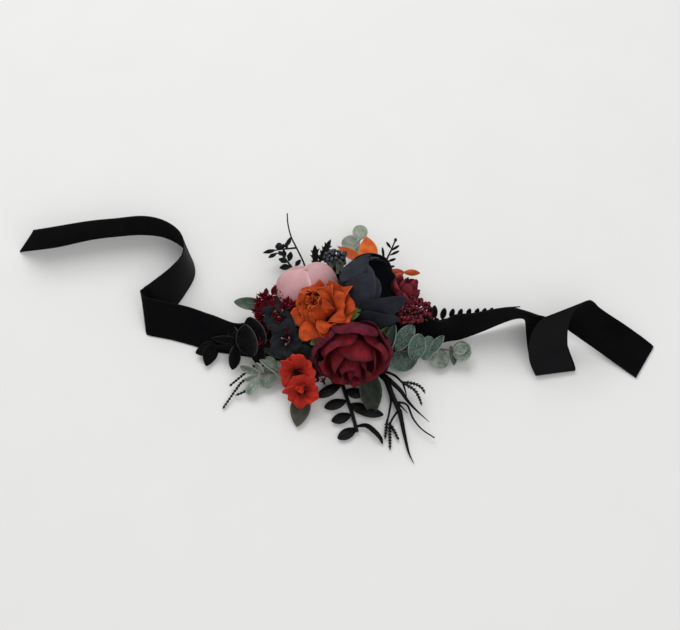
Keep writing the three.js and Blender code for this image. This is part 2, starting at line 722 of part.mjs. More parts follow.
    tipShares: [[-0.28, 0.95, 0.25], [-0.51, 1, 0.24], [-0.38, 1.1, 0.26], [-0.6, 0.76, 0.13]],
    beadShares: [[-0.5, 0.87, 0.17]],
    beadRadius: BUD_RADIUS,
    leanShare: 0.6,
    leafWidth: BUD_LEAF_WIDTH,
    blade: LONG_BLADE_SHARES,
  },
  {
    name: "black_sprig_back_right",
    finish: BLACK_LEAF,
    stemShares: [[[0.34, 0.46, 0.1], [0.4, 0.66, 0.22], [0.48, 0.86, 0.29]]],
    tipShares: [[0.3, 0.78, 0.28], [0.55, 0.72, 0.28], [0.38, 0.88, 0.3], [0.6, 0.83, 0.3]],
    leanShare: 0.7,
    leafWidth: SPRIG_LEAF_WIDTH,
    blade: LONG_BLADE_SHARES,
  },
  {
    name: "rust_leaf_spray",
    finish: RUST,
    stemShares: [[[0.42, 0.42, 0.1], [0.55, 0.58, 0.25]]],
    tipShares: [[0.37, 0.57, 0.27], [0.4, 0.46, 0.24], [0.73, 0.58, 0.25], [0.62, 0.7, 0.27]],
    leanShare: 0,
    leafWidth: RUST_LEAF_WIDTH,
    blade: LONG_BLADE_SHARES,
  },
  {
    name: "burgundy_pips_left",
    finish: PIP_RED,
    stemShares: [
      [[-0.38, 0.24, 0.12], [-0.5, 0.28, 0.18]],
      [[-0.38, 0.24, 0.12], [-0.56, 0.12, 0.17]],
    ],
    beadShares: [
      [-0.44, 0.38, 0.22], [-0.55, 0.4, 0.22], [-0.62, 0.3, 0.22], [-0.54, 0.28, 0.27],
      [-0.65, 0.18, 0.2], [-0.63, 0.06, 0.17], [-0.55, 0.02, 0.19],
    ],
    beadRadius: PIP_RADIUS,
    leanShare: 0.3,
  },
  {
    name: "burgundy_pips_right",
    finish: PIP_RED,
    stemShares: [[[0.45, 0.2, 0.11], [0.55, 0.21, 0.14]]],
    beadShares: [
      [0.53, 0.3, 0.23], [0.65, 0.28, 0.26], [0.76, 0.24, 0.24], [0.62, 0.15, 0.22],
      [0.74, 0.14, 0.21],
    ],
    beadRadius: PIP_RADIUS,
    leanShare: 0,
  },
  {
    name: "black_berries",
    finish: BERRY_BLACK,
    stemShares: [[[-0.02, 0.46, 0.1], [-0.02, 0.58, 0.17]]],
    beadShares: [
      [-0.1, 0.7, 0.29], [-0.02, 0.74, 0.31], [0.05, 0.69, 0.3], [-0.06, 0.62, 0.31],
      [0.02, 0.62, 0.33],
    ],
    beadRadius: BERRY_RADIUS,
    leanShare: 0,
  },
];

SPRAYS.forEach((plan) => addPiece(plan.name, spray(plan), plan.finish));

// Layer of petals that is seated on the layers outside it
const layer = (profileShares, order, petals, notchShare, lapShare, turnShare = 0) => ({
  profileShares,
  petals,
  wall: PETAL_WALL,
  seat: order * (PETAL_WALL + CLEARANCE),
  notchShare,
  lapShare,
  turnShare,
});

// Small open blossoms, each with its stem and stamens
const BLOSSOM_SHARES = [[0.12, 0], [0.25, 0.25], [0.6, 0.6], [1, 1]];
const BLOSSOMS = [
  {
    name: "red_blossom_rear",
    finish: RED_ORANGE,
    sizeShare: 1.05,
    axis: [-0.1, -0.5, 0.85],
    placeShares: [-0.33, -0.345, 0.24],
  },
  {
    name: "red_blossom_front",
    finish: RED_ORANGE,
    sizeShare: 0.95,
    axis: [0, -0.65, 0.75],
    placeShares: [-0.285, -0.52, 0.18],
  },
  {
    name: "black_blossom_rear",
    finish: CHARCOAL,
    sizeShare: 0.95,
    axis: [-0.2, 0.1, 0.95],
    placeShares: [-0.36, 0.2, 0.33],
  },
  {
    name: "black_blossom_left",
    finish: CHARCOAL,
    sizeShare: 1,
    axis: [-0.35, 0, 0.9],
    placeShares: [-0.46, 0.11, 0.31],
  },
  {
    name: "black_blossom_front",
    finish: CHARCOAL,
    sizeShare: 1.05,
    axis: [-0.3, -0.4, 0.85],
    placeShares: [-0.38, -0.11, 0.29],
  },
];

BLOSSOMS.forEach(({ name, finish, sizeShare, axis, placeShares }) => {
  const radius = BLOSSOM_RADIUS * sizeShare;
  const blossom = {
    radius,
    axis,
    placeShares,
    depth: radius * BLOSSOM_DEPTH_SHARE,
    stamenLength: radius * STAMEN_LENGTH_SHARE,
  };
  const { centre } = headFrame(blossom);
  const way = vector(axis).normalize();
  const throat = centre.clone().addScaledVector(way, (PETAL_WALL - blossom.depth) / 2);
  const below = throat.clone().addScaledVector(way, -blossom.depth / 2);
  const cup = petalCup(blossom, layer(BLOSSOM_SHARES, 0, 5, 0.18, 0.06));
  const stalk = stem([throat, below, rootBelow(throat)], HEAD_STEM_RADIUS);
  addPiece(name, join([cup, stalk]), finish);
  addPiece(`${name}_stamens`, stamens(blossom), ANTHER);
});

// Flower heads. Axes point out of each face; layers are listed from the outside in.
const ROSE_OUTER_SHARES = [[0.1, 0], [0.5, 0.04], [0.88, 0.18], [1, 0.5]];
const ROSE_MIDDLE_SHARES = [[0.08, 0], [0.45, 0.08], [0.78, 0.28], [0.84, 0.64]];
const ROSE_CORE_SHARES = [[0.07, 0], [0.32, 0.15], [0.54, 0.45], [0.4, 0.95]];
const PAPER_OUTER_SHARES = [[0.1, 0], [0.38, 0.4], [0.66, 0.74], [1, 0.82]];
const PAPER_MIDDLE_SHARES = [[0.08, 0], [0.32, 0.42], [0.48, 0.78], [0.76, 0.9]];
const PAPER_CORE_SHARES = [[0.07, 0], [0.3, 0.25], [0.5, 0.6], [0.34, 1]];
const PEONY_OUTER_SHARES = [[0.1, 0], [0.62, 0.06], [0.96, 0.34], [0.94, 0.86]];
const PEONY_MIDDLE_SHARES = [[0.08, 0], [0.5, 0.08], [0.82, 0.4], [0.74, 0.95]];
const PEONY_CORE_SHARES = [[0.07, 0], [0.26, 0.12], [0.42, 0.45], [0.36, 0.75]];
const BUD_OUTER_SHARES = [[0.1, 0], [0.66, 0.08], [0.98, 0.38], [0.94, 0.7], [0.3, 1]];
const BUD_CORE_SHARES = [[0.08, 0], [0.5, 0.08], [0.8, 0.4], [0.74, 0.68], [0.12, 0.92]];
const SMALL_CORE_SHARES = [[0.08, 0], [0.4, 0.1], [0.62, 0.45], [0.5, 0.95]];
const CALYX_SHARES = [[0.1, 0], [0.3, 0.005], [0.5, 0.02], [0.95, 0.2]];

const HEADS = [
  {
    name: "burgundy_rose",
    finish: BURGUNDY,
    radius: BURGUNDY_ROSE_RADIUS,
    depth: BURGUNDY_ROSE_DEPTH,
    axis: [0.08, -0.97, 0.2],
    placeShares: [0.12, -0.285, 0.36],
    sepalNotchShare: 0.5,
    sepalTurnShare: 0.3,
    layers: {
      outer_petals: layer(ROSE_OUTER_SHARES, 0, 6, 0.14, 0.1),
      middle_petals: layer(ROSE_MIDDLE_SHARES, 1, 5, 0.12, 0.1, 0.4),
      inner_petals: layer(ROSE_CORE_SHARES, 2, 4, 0.1, 0.2, 0.2),
    },
  },
  {
    name: "orange_rose",
    finish: BURNT_ORANGE,
    radius: ORANGE_ROSE_RADIUS,
    depth: ORANGE_ROSE_DEPTH,
    axis: [-0.3, -0.16, 0.94],
    placeShares: [-0.08, 0.06, 0.45],
    sepalNotchShare: 0.5,
    sepalTurnShare: 0.1,
    layers: {
      outer_petals: layer(PAPER_OUTER_SHARES, 0, 6, 0.12, 0.08, 0.3),
      middle_petals: layer(PAPER_MIDDLE_SHARES, 1, 5, 0.12, 0.1, 0.1),
      inner_petals: layer(PAPER_CORE_SHARES, 2, 4, 0.14, 0.2),
    },
  },
  {
    name: "black_peony",
    finish: CHARCOAL,
    radius: PEONY_RADIUS,
    depth: PEONY_DEPTH,
    axis: [0.89, 0.05, 0.43],
    placeShares: [0.25, 0.3, 0.375],
    sepalNotchShare: 0.5,
    sepalTurnShare: 0.6,
    layers: {
      outer_petals: layer(PEONY_OUTER_SHARES, 0, 5, 0.14, 0.12, 0.5),
      middle_petals: layer(PEONY_MIDDLE_SHARES, 1, 4, 0.12, 0.12, 0.1),
      inner_petals: layer(PEONY_CORE_SHARES, 2, 3, 0.1, 0.15, 0.3),
    },
  },
  {
    name: "pink_bud",
    finish: DUSTY_PINK,
    radius: PINK_BUD_RADIUS,
    depth: PINK_BUD_DEPTH,
    axis: [-0.1, 0.73, 0.68],
    placeShares: [-0.26, 0.37, 0.3],
    sepalNotchShare: 0.5,
    sepalTurnShare: 0.2,
    layers: {
      outer_petals: layer(BUD_OUTER_SHARES, 0, 3, 0.06, 0.1, 0.4),
      inner_petals: layer(BUD_CORE_SHARES, 1, 3, 0.06, 0.1),
    },
  },
  {
    name: "small_rose",
    finish: BURGUNDY,
    radius: SMALL_ROSE_RADIUS,
    depth: SMALL_ROSE_DEPTH,
    axis: [0.75, -0.25, 0.6],
    placeShares: [0.58, 0.375, 0.28],
    sepalNotchShare: 0.5,
    sepalTurnShare: 0,
    layers: {
      outer_petals: layer(ROSE_OUTER_SHARES, 0, 5, 0.14, 0.12),
      inner_petals: layer(SMALL_CORE_SHARES, 1, 4, 0.12, 0.15, 0.5),
    },
  },
];

HEADS.forEach((head) => {
  addPiece(`${head.name}_calyx`, calyx(head), SEPAL_GREEN);
  Object.entries(head.layers).forEach(([part, cup]) => {
    addPiece(`${head.name}_${part}`, petalCup(head, cup), head.finish);
  });
});

addPiece("glue_bed", glueBed(), GLUE);

export default corsage;
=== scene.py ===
"""Looks of a wrist corsage: petals, leaves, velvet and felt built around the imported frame."""
import math

import bpy
import numpy as np
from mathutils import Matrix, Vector, noise

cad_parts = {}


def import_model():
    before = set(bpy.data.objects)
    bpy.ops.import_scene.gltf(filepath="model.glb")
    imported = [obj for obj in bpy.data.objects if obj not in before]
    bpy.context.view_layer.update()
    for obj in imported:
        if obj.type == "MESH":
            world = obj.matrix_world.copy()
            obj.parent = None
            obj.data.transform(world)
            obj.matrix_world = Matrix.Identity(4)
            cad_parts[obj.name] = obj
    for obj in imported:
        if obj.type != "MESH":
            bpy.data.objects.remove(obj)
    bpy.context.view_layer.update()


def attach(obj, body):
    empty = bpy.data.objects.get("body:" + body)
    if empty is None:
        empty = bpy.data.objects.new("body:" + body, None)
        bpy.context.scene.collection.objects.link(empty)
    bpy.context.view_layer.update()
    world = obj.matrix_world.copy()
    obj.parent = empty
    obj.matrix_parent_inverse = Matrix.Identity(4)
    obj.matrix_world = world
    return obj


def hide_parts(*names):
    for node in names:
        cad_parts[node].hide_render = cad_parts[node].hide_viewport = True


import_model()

MM = 0.001  # sizes below are in millimetres, and meshes are made in metres

# Driving sizes, as in the frame
RIBBON_REACH = 200
POSY_REACH = 75
RIBBON_WIDTH = 25
RIBBON_THICKNESS = 0.9
RIBBON_CUT_SLANT = 14
TABLE_GAP = 0.45
RIBBON_GAP = 0.05
PAD_LENGTH = 58
PAD_WIDTH = 45
PAD_LEVEL = 2.05
FELT_THICKNESS = 1.15
GLUE_LENGTH = 50
GLUE_WIDTH = 38
GLUE_HEIGHT = 9
GLUE_FLOOR = 3.3
GLUE_GAP = 0.1
ROOT_LEVEL = 5.7
ROOT_INSET = 3.5
HEAD_STEM_RADIUS = 1.3
CALYX_DROP = 0.6
STALK_RADIUS = 0.5
FINE_STALK_RADIUS = 0.4

# Radii of wired stems at the root and at the tip
FERN_WIRE = (1.35, 1.15)
NEEDLE_WIRE = (1.9, 1.5)
SPRAY_WIRE = (1.0, 0.7)
PIP_WIRE = (0.9, 0.7)
LEAF_WIRE = (0.8, 0.6)
FINE_LEAF_WIRE = (0.8, 0.5)
RUST_WIRE = (0.7, 0.5)
TWIG_WIRE = (0.7, 0.4)

# Fineness of the meshes
RIBBON_STEPS = 7
RIBBON_COLUMNS = 15
PETAL_ROWS = 21
PETAL_COLUMNS = 19
LINE_STEPS = 6
FELT_SIDES = 64
GLUE_SIDES = 48
SEPAL_TEETH = 7
SHARP_ANGLE = 55

PETAL_THICKNESS = 0.45
LEAF_THICKNESS = 0.55
SECOND_FINISH = (1, 1)  # both faces of a leaf in its piece's second material

# Camera: the photograph's focal length in pixels, its height above the table and its target
PHOTO_WIDTH_PIXELS = 680
FOCAL_PIXELS = 1417
SENSOR_WIDTH = 36
CAMERA_ELEVATION = 62
CAMERA_DISTANCE = 900
CAMERA_TARGET = (1.3, 21.6, 0)

# Stage, in metres and watts: lamps with their place, width and power
FLOOR_REACH = 4
WORLD_STRENGTH = 0.45
LAMPS = [("window", (-0.3, 0.9, 1.3), 1.1, 12), ("fill", (0.4, -0.9, 1.5), 1.4, 8)]

UP = np.array([0.0, 0.0, 1.0])
draws = np.random.default_rng(11)


def unit(vector):
    return np.asarray(vector, float) / np.linalg.norm(vector)


def place(thousandths):
    """Points from thousandths of the posy's reach, in which all places on the posy are given."""
    return np.asarray(thousandths, float) / 1000 * POSY_REACH


def mix(first, second, share):
    return first + (second - first) * share


def smooth_line(points, steps=LINE_STEPS):
    """Smooth curve through points, with that many steps between two of them."""
    points = np.asarray(points, float)
    ends = np.vstack([2 * points[0] - points[1], points, 2 * points[-1] - points[-2]])
    share = np.linspace(0, 1, steps, endpoint=False)[:, None]
    stretches = []
    for before, start, end, after in zip(ends, ends[1:], ends[2:], ends[3:]):
        leave = (end - before) / 2
        arrive = (after - start) / 2
        turn = 3 * (end - start) - 2 * leave - arrive
        close = 2 * (start - end) + leave + arrive
        stretches.append(start + leave * share + turn * share**2 + close * share**3)
    return np.vstack([*stretches, points[-1:]])


def distances(line):
    """How far along a line each of its points is."""
    return np.concatenate([[0], np.cumsum(np.linalg.norm(np.diff(line, axis=0), axis=1))])


def linked(name, data):
    """New object with this data, in the scene."""
    made = bpy.data.objects.new(name, data)
    bpy.context.scene.collection.objects.link(made)
    return made


class Shape:
    """A mesh under construction, with four values at each point that its material reads."""

    LABELS = ("along", "across", "shade", "stem")

    def __init__(self):
        self.points = []
        self.faces = []
        self.values = []
        self.slots = []
        self.count = 0

    def add(self, points, faces, along, across, shade, stem=0.0, slot=0):
        points = np.asarray(points, float).reshape(-1, 3)
        values = (along, across, shade, stem)
        columns = [np.broadcast_to(np.ravel(value), len(points)) for value in values]
        self.points.append(points)
        self.values.append(np.column_stack(columns))
        self.faces.extend(tuple(int(corner) + self.count for corner in face) for face in faces)
        self.slots.extend([slot] * len(faces))
        self.count += len(points)

    def piece(self, name, nodes, slot, *materials):
        """Makes the object, which stands for its CAD nodes."""
        mesh = bpy.data.meshes.new(name)
        mesh.from_pydata((np.vstack(self.points) * MM).tolist(), [], self.faces)
        for label, column in zip(self.LABELS, np.vstack(self.values).T):
            layer = mesh.attributes.new(label, "FLOAT", "POINT")
            layer.data.foreach_set("value", column.astype(np.float32))
        mesh.polygons.foreach_set("use_smooth", [True] * len(mesh.polygons))
        for material in materials:
            mesh.materials.append(material)
        mesh.polygons.foreach_set("material_index", self.slots)
        mesh.set_sharp_from_angle(angle=math.radians(SHARP_ANGLE))
        made = linked(name, mesh)
        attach(made, "root")
        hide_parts(*nodes)
        return made


def sheet(shape, middle, thickness, shade=0.5, slots=(0, 0)):
    """Thin closed body round a grid of points whose rows run from base to tip."""
    rows, columns = middle.shape[:2]
    normal = np.cross(np.gradient(middle, axis=0), np.gradient(middle, axis=1))
    normal /= np.maximum(np.linalg.norm(normal, axis=2, keepdims=True), 1e-9)
    half = normal * (thickness / 2)
    index = np.arange(rows * columns).reshape(rows, columns)
    corners = (index[:-1, :-1], index[1:, :-1], index[1:, 1:], index[:-1, 1:])
    front = list(zip(*(corner.ravel() for corner in corners)))
    back_start = rows * columns
    back = [tuple(corner + back_start for corner in reversed(face)) for face in front]
    border = [*index[:, 0], *index[-1, 1:], *index[-2::-1, -1], *index[0, -2:0:-1]]
    rim = [(b, a, a + back_start, b + back_start) for a, b in zip(border, border[1:] + border[:1])]
    along = np.repeat(np.linspace(0, 1, rows), columns)
    across = np.tile(np.linspace(-1, 1, columns), rows)
    points = np.concatenate([(middle + half).reshape(-1, 3), (middle - half).reshape(-1, 3)])
    start = len(shape.slots)
    shape.add(points, front + back + rim, np.tile(along, 2), np.tile(across, 2), shade, slot=slots[0])
    for face in range(start + len(front), start + len(front) + len(back)):
        shape.slots[face] = slots[1]


def round_angles(sides):
    return np.linspace(0, 2 * math.pi, sides, endpoint=False)


def square_to(axis):
    """A direction at right angles to an axis."""
    return np.cross(axis, UP if abs(axis[2]) < 0.9 else (1, 0, 0))


def ring_faces(rings, sides, first=0):
    """Faces between rings of points, which follow one another from the first point on."""
    faces = []
    for start in range(first, first + (rings - 1) * sides, sides):
        for i in range(sides):
            j = (i + 1) % sides
            faces.append((start + i, start + j, start + sides + j, start + sides + i))
    return faces


def capped_faces(rings, sides):
    """Faces of a body of rings with flat ends."""
    last = (rings - 1) * sides
    return [tuple(reversed(range(sides))), *ring_faces(rings, sides), tuple(range(last, last + sides))]


def tube(shape, line, radius, tip_radius=None, shade=0.5, sides=8, stem=1.0):
    """Round tapering tube along a line of points, closed at both ends."""
    line = np.asarray(line, float)
    tangents = np.gradient(line, axis=0)
    tangents /= np.linalg.norm(tangents, axis=1, keepdims=True)
    radii = np.linspace(radius, radius if tip_radius is None else tip_radius, len(line))
    across = square_to(tangents[0])
    angles = round_angles(sides)
    rings = []
    for centre, tangent, size in zip(line, tangents, radii):
        across = unit(across - tangent * (across @ tangent))
        side = np.cross(tangent, across)
        circle = np.outer(np.cos(angles), across) + np.outer(np.sin(angles), side)
        rings.append(centre + size * circle)
    along = np.repeat(np.linspace(0, 1, len(line)), sides)
    shape.add(np.vstack(rings), capped_faces(len(line), sides), along, 0.0, shade, stem)


def bead(shape, centre, radius, axis=UP, stretch=1.0, sides=10, levels=6, lumps=0.0, point=0.0,
         shade=0.5):
    """Round or pointed bead, stretched along its axis."""
    axis = unit(axis)
    across = unit(square_to(axis))
    side = np.cross(axis, across)
    polar = np.linspace(0, math.pi, levels + 1)[1:-1]
    angles = round_angles(sides)
    points = [centre - axis * radius * stretch]
    for angle in polar[::-1]:
        height = math.cos(angle) * stretch
        size = math.sin(angle) * (1 - point * max(math.cos(angle), 0))
        lobes = 1 + lumps * np.cos(angles * 5)
        ring = np.outer(np.cos(angles) * lobes, across) + np.outer(np.sin(angles) * lobes, side)
        points.extend(centre + radius * (axis * height + ring * size))
    points.append(centre + axis * radius * stretch * (1 + point / 2))
    faces = [(0, 1 + (i + 1) % sides, 1 + i) for i in range(sides)]
    faces += ring_faces(levels - 1, sides, 1)
    last = 1 + (levels - 2) * sides
    faces.extend((last + i, last + (i + 1) % sides, len(points) - 1) for i in range(sides))
    heights = [(point - centre) @ axis / (radius * stretch) / 2 + 0.5 for point in points]
    shape.add(points, faces, heights, 0.0, shade)


# Shapes of leaves


def leaf(shape, base, tip, width, facing=UP, fullness=0.6, skew=1.0, cup=0.0, arch=0.0, fold=0.0,
         teeth=0, bite=0.12, wave=0.0, thickness=LEAF_THICKNESS, rows=13, columns=9, shade=None,
         slots=(0, 0)):
    """Leaf blade from its base to its tip. Skew moves its widest place and fullness rounds it."""
    base = np.asarray(base, float)
    tip = np.asarray(tip, float)
    length = np.linalg.norm(tip - base)
    direction = unit(tip - base)
    facing = np.asarray(facing, float)
    normal = unit(facing - direction * (facing @ direction))
    side = np.cross(direction, normal)
    rows = 2 * teeth + 1 if teeth else rows
    turns = np.linspace(0, math.pi, rows)
    along = np.linspace(0, 1, rows) if teeth else (1 - np.cos(turns)) / 2
    half = width / 2 * np.maximum(np.sin(math.pi * along**skew), 0.03) ** fullness
    if teeth:
        half = half * np.where(np.arange(rows) % 2 == 0, 1 - bite, 1)
    along = along[:, None]
    half = half[:, None]
    across = np.linspace(-1, 1, columns)[None, :]
    rise = arch * length * np.sin(math.pi * along) + cup * half * across**2 + fold * half * np.abs(across)
    rise = rise + wave * half * np.sin(along * 9 + across * 2) * np.abs(across)
    middle = (base + direction * (length * along)[..., None] + side * (half * across)[..., None]
              + normal * rise[..., None])
    sheet(shape, middle, thickness, draws.uniform(0, 1) if shade is None else shade, slots)


def leaves(shape, rows, width=None, facing=UP, **form):
    """Leaves from rows of the places of their base and tip.

    A row may go on with its own width, then where it faces, then what else differs in it.
    """
    for base, tip, *own in rows:
        own_width, own_facing, own_form = [*own, *(width, facing, {})[len(own):]]
        leaf(shape, place(base), place(tip), own_width, own_facing, **{**form, **own_form})


def root_below(point):
    """Where a stem bound for this point is set in the glue."""
    angle = math.atan2(point[1] / GLUE_WIDTH, point[0] / GLUE_LENGTH)
    x = (GLUE_LENGTH / 2 - ROOT_INSET) * math.cos(angle)
    y = (GLUE_WIDTH / 2 - ROOT_INSET) * math.sin(angle)
    return np.array([x, y, ROOT_LEVEL])


def stems(wire, *lines):
    """New shape with a stem and its branches; the first line starts in the glue."""
    shape = Shape()
    first, *branches = [place(line) for line in lines]
    for line in (np.vstack([root_below(first[0]), first]), *branches):
        tube(shape, smooth_line(line), *wire)
    return shape


def stalk(shape, start, end, radius=STALK_RADIUS):
    tube(shape, smooth_line([start, (np.asarray(start) + end) / 2, end], 2), radius, sides=6)


# Ribbon


# Stations of the laid ribbon: its lower edge in shares of the reach, that edge's height in shares
# of the ribbon's width, and the way from the lower to the upper edge
LEFT_STATION_SHARES = [
    (-1.0, 0.345, 0, (0, -0.05, 1)), (-0.915, 0.358, 0, (0, -0.03, 1)),
    (-0.807, 0.386, 0, (0.1, -0.06, 0.99)), (-0.727, 0.398, 0, (0.1, -0.08, 0.99)),
    (-0.635, 0.405, 0, (0.12, -0.06, 0.99)), (-0.555, 0.39, 0, (0.05, -0.1, 0.99)),
    (-0.491, 0.34, 0, (-0.06, -0.07, 0.99)), (-0.462, 0.26, 0, (-0.21, 0.04, 0.98)),
    (-0.493, 0.178, 0, (-0.24, 0.31, 0.92)), (-0.54, 0.105, 0, (-0.36, 0.54, 0.76)),
    (-0.566, 0.074, 0, (-0.37, 0.76, 0.52)), (-0.588, 0.06, 0, (-0.26, 0.79, 0.55)),
    (-0.602, 0.05, 0, (-0.13, 0.78, 0.61)), (-0.602, 0.04, 0, (-0.07, 0.74, 0.67)),
    (-0.59, 0.033, 0, (-0.05, 0.7, 0.71)), (-0.528, 0.02, 0, (-0.03, 0.65, 0.75)),
    (-0.46, 0, 0, (-0.05, 0.71, 0.7)), (-0.387, -0.022, 0, (-0.07, 0.64, 0.77)),
    (-0.306, -0.036, 0, (-0.02, 0.42, 0.91)), (-0.225, -0.05, 0.01, (0, 0.8, 0.6)),
]
RIGHT_STATION_SHARES = [
    (0.23, -0.03, 0.01, (-0.05, 0.75, 0.65)), (0.33, 0.01, 0, (-0.18, 0.08, 0.98)),
    (0.38, 0.02, 0, (-0.16, 0.18, 0.97)), (0.42, 0.033, 0.02, (-0.08, 0.09, 0.99)),
    (0.465, 0.05, 0.06, (0, 0.02, 1)), (0.511, 0.068, 0.12, (-0.1, -0.1, 0.99)),
    (0.557, 0.083, 0.16, (-0.2, -0.2, 0.96)), (0.588, 0.085, 0.12, (-0.12, -0.28, 0.95)),
    (0.594, 0.064, 0.04, (0.15, -0.2, 0.97)), (0.594, 0.03, 0.02, (0.5, 0, 0.86)),
    (0.595, -0.016, 0.02, (0.8, 0.1, 0.6)), (0.6, -0.056, 0.02, (0.95, 0.1, 0.3)),
    (0.612, -0.094, 0.02, (0.99, 0.13, 0.08)), (0.612, -0.11, 0.09, (0.99, 0.14, 0)),
    (0.604, -0.104, 0.2, (0.98, 0.18, 0)), (0.592, -0.079, 0.34, (0.97, 0.25, 0.04)),
    (0.586, -0.057, 0.6, (0.96, 0.27, 0.08)), (0.588, -0.033, 0.86, (0.95, 0.31, 0.1)),
    (0.602, -0.007, 1.08, (0.93, 0.34, 0.12)), (0.627, 0.014, 1.22, (0.93, 0.32, 0.14)),
    (0.655, 0.026, 1.1, (0.9, 0.3, 0.3)), (0.678, 0.03, 0.85, (0.86, 0.27, 0.43)),
    (0.706, 0.025, 0.56, (0.8, 0.25, 0.54)), (0.755, 0.002, 0.32, (0.83, 0.32, 0.46)),
    (0.817, -0.037, 0.16, (0.84, 0.48, 0.25)), (0.877, -0.079, 0.06, (0.74, 0.67, 0.07)),
    (0.924, -0.115, 0.02, (0.52, 0.86, 0)),
]


def ribbon_stretch(stations):
    """Lower edges and ways to the upper edge, along a smooth curve through the stations."""
    edges = smooth_line([edge for edge, _ in stations], RIBBON_STEPS)
    edges[:, 2] = np.maximum(edges[:, 2], TABLE_GAP)
    ways = smooth_line([unit(way) for _, way in stations], RIBBON_STEPS)
    return edges, ways / np.linalg.norm(ways, axis=1, keepdims=True)


def ribbon_piece(pile, satin):
    """Velvet ribbon: pile on one face and satin on the other."""
    def station(x, y, lift, way):
        return np.array([x * RIBBON_REACH, y * RIBBON_REACH, TABLE_GAP + lift * RIBBON_WIDTH]), way

    def padded(x):
        height = FELT_THICKNESS + RIBBON_GAP + RIBBON_THICKNESS / 2
        return np.array([x, -RIBBON_WIDTH / 2, height]), (0, 1, 0)

    left = ribbon_stretch([*[station(*s) for s in LEFT_STATION_SHARES], padded(-PAD_LENGTH / 2)])
    right = ribbon_stretch([padded(PAD_LENGTH / 2), *[station(*s) for s in RIGHT_STATION_SHARES]])
    lower = np.vstack([left[0], right[0]])
    ways = np.vstack([left[1], right[1]])
    upper = lower + ways * RIBBON_WIDTH
    slant = unit(lower[1] - lower[0]) * RIBBON_CUT_SLANT / 2
    fade = np.exp(-np.arange(RIBBON_STEPS) / 2)[:, None]
    lower[:RIBBON_STEPS] -= slant * fade
    upper[:RIBBON_STEPS] += slant * fade
    across = np.linspace(0, 1, RIBBON_COLUMNS)[None, :, None]
    middle = lower[:, None] + (upper - lower)[:, None] * across
    shape = Shape()
    sheet(shape, middle, RIBBON_THICKNESS, slots=(0, 1))
    made = shape.piece("velvet_ribbon_cloth", ["velvet_ribbon"], "velvet", pile, satin)


# Felt ovals and glue, whose profiles are in shares of their size and height


FELT_PROFILE = [(0.5, 1), (0.9, 1), (0.985, 0.9), (1.0, 0.5), (0.985, 0.1), (0.9, 0), (0.5, 0)]
FELT_WEAR = 0.006
GLUE_PROFILE = [(1, 0), (1, 0.2), (0.93, 0.5), (0.75, 0.8), (0.45, 0.95), (0.1, 1)]
GLUE_LUMPS = 0.03
GLUE_RISE = 0.05


def ring_noise(angles, scale, level):
    """Noise that closes on itself round a ring."""
    places = [Vector((math.cos(angle) * scale, math.sin(angle) * scale, level)) for angle in angles]
    return np.array([noise.noise(spot) for spot in places])


def oval_ring(length, width, size, heights, angles):
    """Points round an oval. Size and heights may differ from point to point."""
    x = length / 2 * size * np.cos(angles)
    y = width / 2 * size * np.sin(angles)
    return np.column_stack([x, y, np.broadcast_to(heights, len(angles))])


def felt_oval(name, node, low, material):
    """Oval cut from felt, with a slightly worn edge."""
    angles = round_angles(FELT_SIDES)
    rough = 1 + FELT_WEAR * ring_noise(angles, 9, low)
    points = [[[0, 0, low + FELT_THICKNESS]]]
    for share, level in FELT_PROFILE:
        height = low + FELT_THICKNESS * level
        points.append(oval_ring(PAD_LENGTH * share, PAD_WIDTH * share, rough, height, angles))
    points = np.vstack([*points, [[0, 0, low]]])
    last = 1 + (len(FELT_PROFILE) - 1) * FELT_SIDES
    ahead = [(i + 1) % FELT_SIDES for i in range(FELT_SIDES)]
    faces = [(0, 1 + i, 1 + j) for i, j in enumerate(ahead)]
    faces += [(a, d, c, b) for a, b, c, d in ring_faces(len(FELT_PROFILE), FELT_SIDES, 1)]
    faces += [(len(points) - 1, last + j, last + i) for i, j in enumerate(ahead)]
    shape = Shape()
    shape.add(points, faces, 0.5, 0.0, 0.5)
    made = shape.piece(name, [node], "felt", material)


def glue_piece(material):
    """Lumpy bed of set glue that holds every stem."""
    angles = round_angles(GLUE_SIDES)
    points = []
    for share, level in smooth_line(GLUE_PROFILE, 3):
        lumps = ring_noise(angles, 3, level * 2)
        size = share * (1 - GLUE_LUMPS + GLUE_LUMPS * lumps)
        heights = GLUE_FLOOR + GLUE_GAP + GLUE_HEIGHT * level * (1 + GLUE_RISE * lumps)
        points.append(oval_ring(GLUE_LENGTH, GLUE_WIDTH, size, heights, angles))
    shape = Shape()
    shape.add(np.vstack(points), capped_faces(len(points), GLUE_SIDES), 0.5, 0.0, 0.5)
    shape.piece("glue_bed_set", ["glue_bed"], "hot_glue", material)


# Flower heads


class Head:
    """Where a flower head is and how it is turned; its axis points out of its face."""

    def __init__(self, radius, depth, axis, spot):
        self.radius = radius
        self.depth = depth
        self.axis = unit(axis)
        self.centre = place(spot)
        turn = Vector((0, 0, 1)).rotation_difference(Vector(self.axis))
        self.matrix = np.array(turn.to_matrix())

    def world(self, local):
        return local @ self.matrix.T + self.centre

    def outward(self, angle):
        """Direction away from the axis, at that angle round it."""
        return self.matrix @ np.array([math.cos(angle), math.sin(angle), 0])

    def moved(self, x_share, y_share):
        """The same head with its middle off to one side, in shares of its radius."""
        head = Head(self.radius, self.depth, self.axis, (0, 0, 0))
        head.centre = self.world(np.array([x_share * self.radius, y_share * self.radius, 0]))
        return head


# Petals: how far along they are as wide as they get, flat or round the axis, the half width of the
# dent in a tip and the scales of the crumples across and along
FLAT_WIDE_AT = 0.62
HUG_WIDE_AT = 0.5
DENT_WIDTH = 0.2
CRUMPLE_SCALES = (1.6, 2.2)


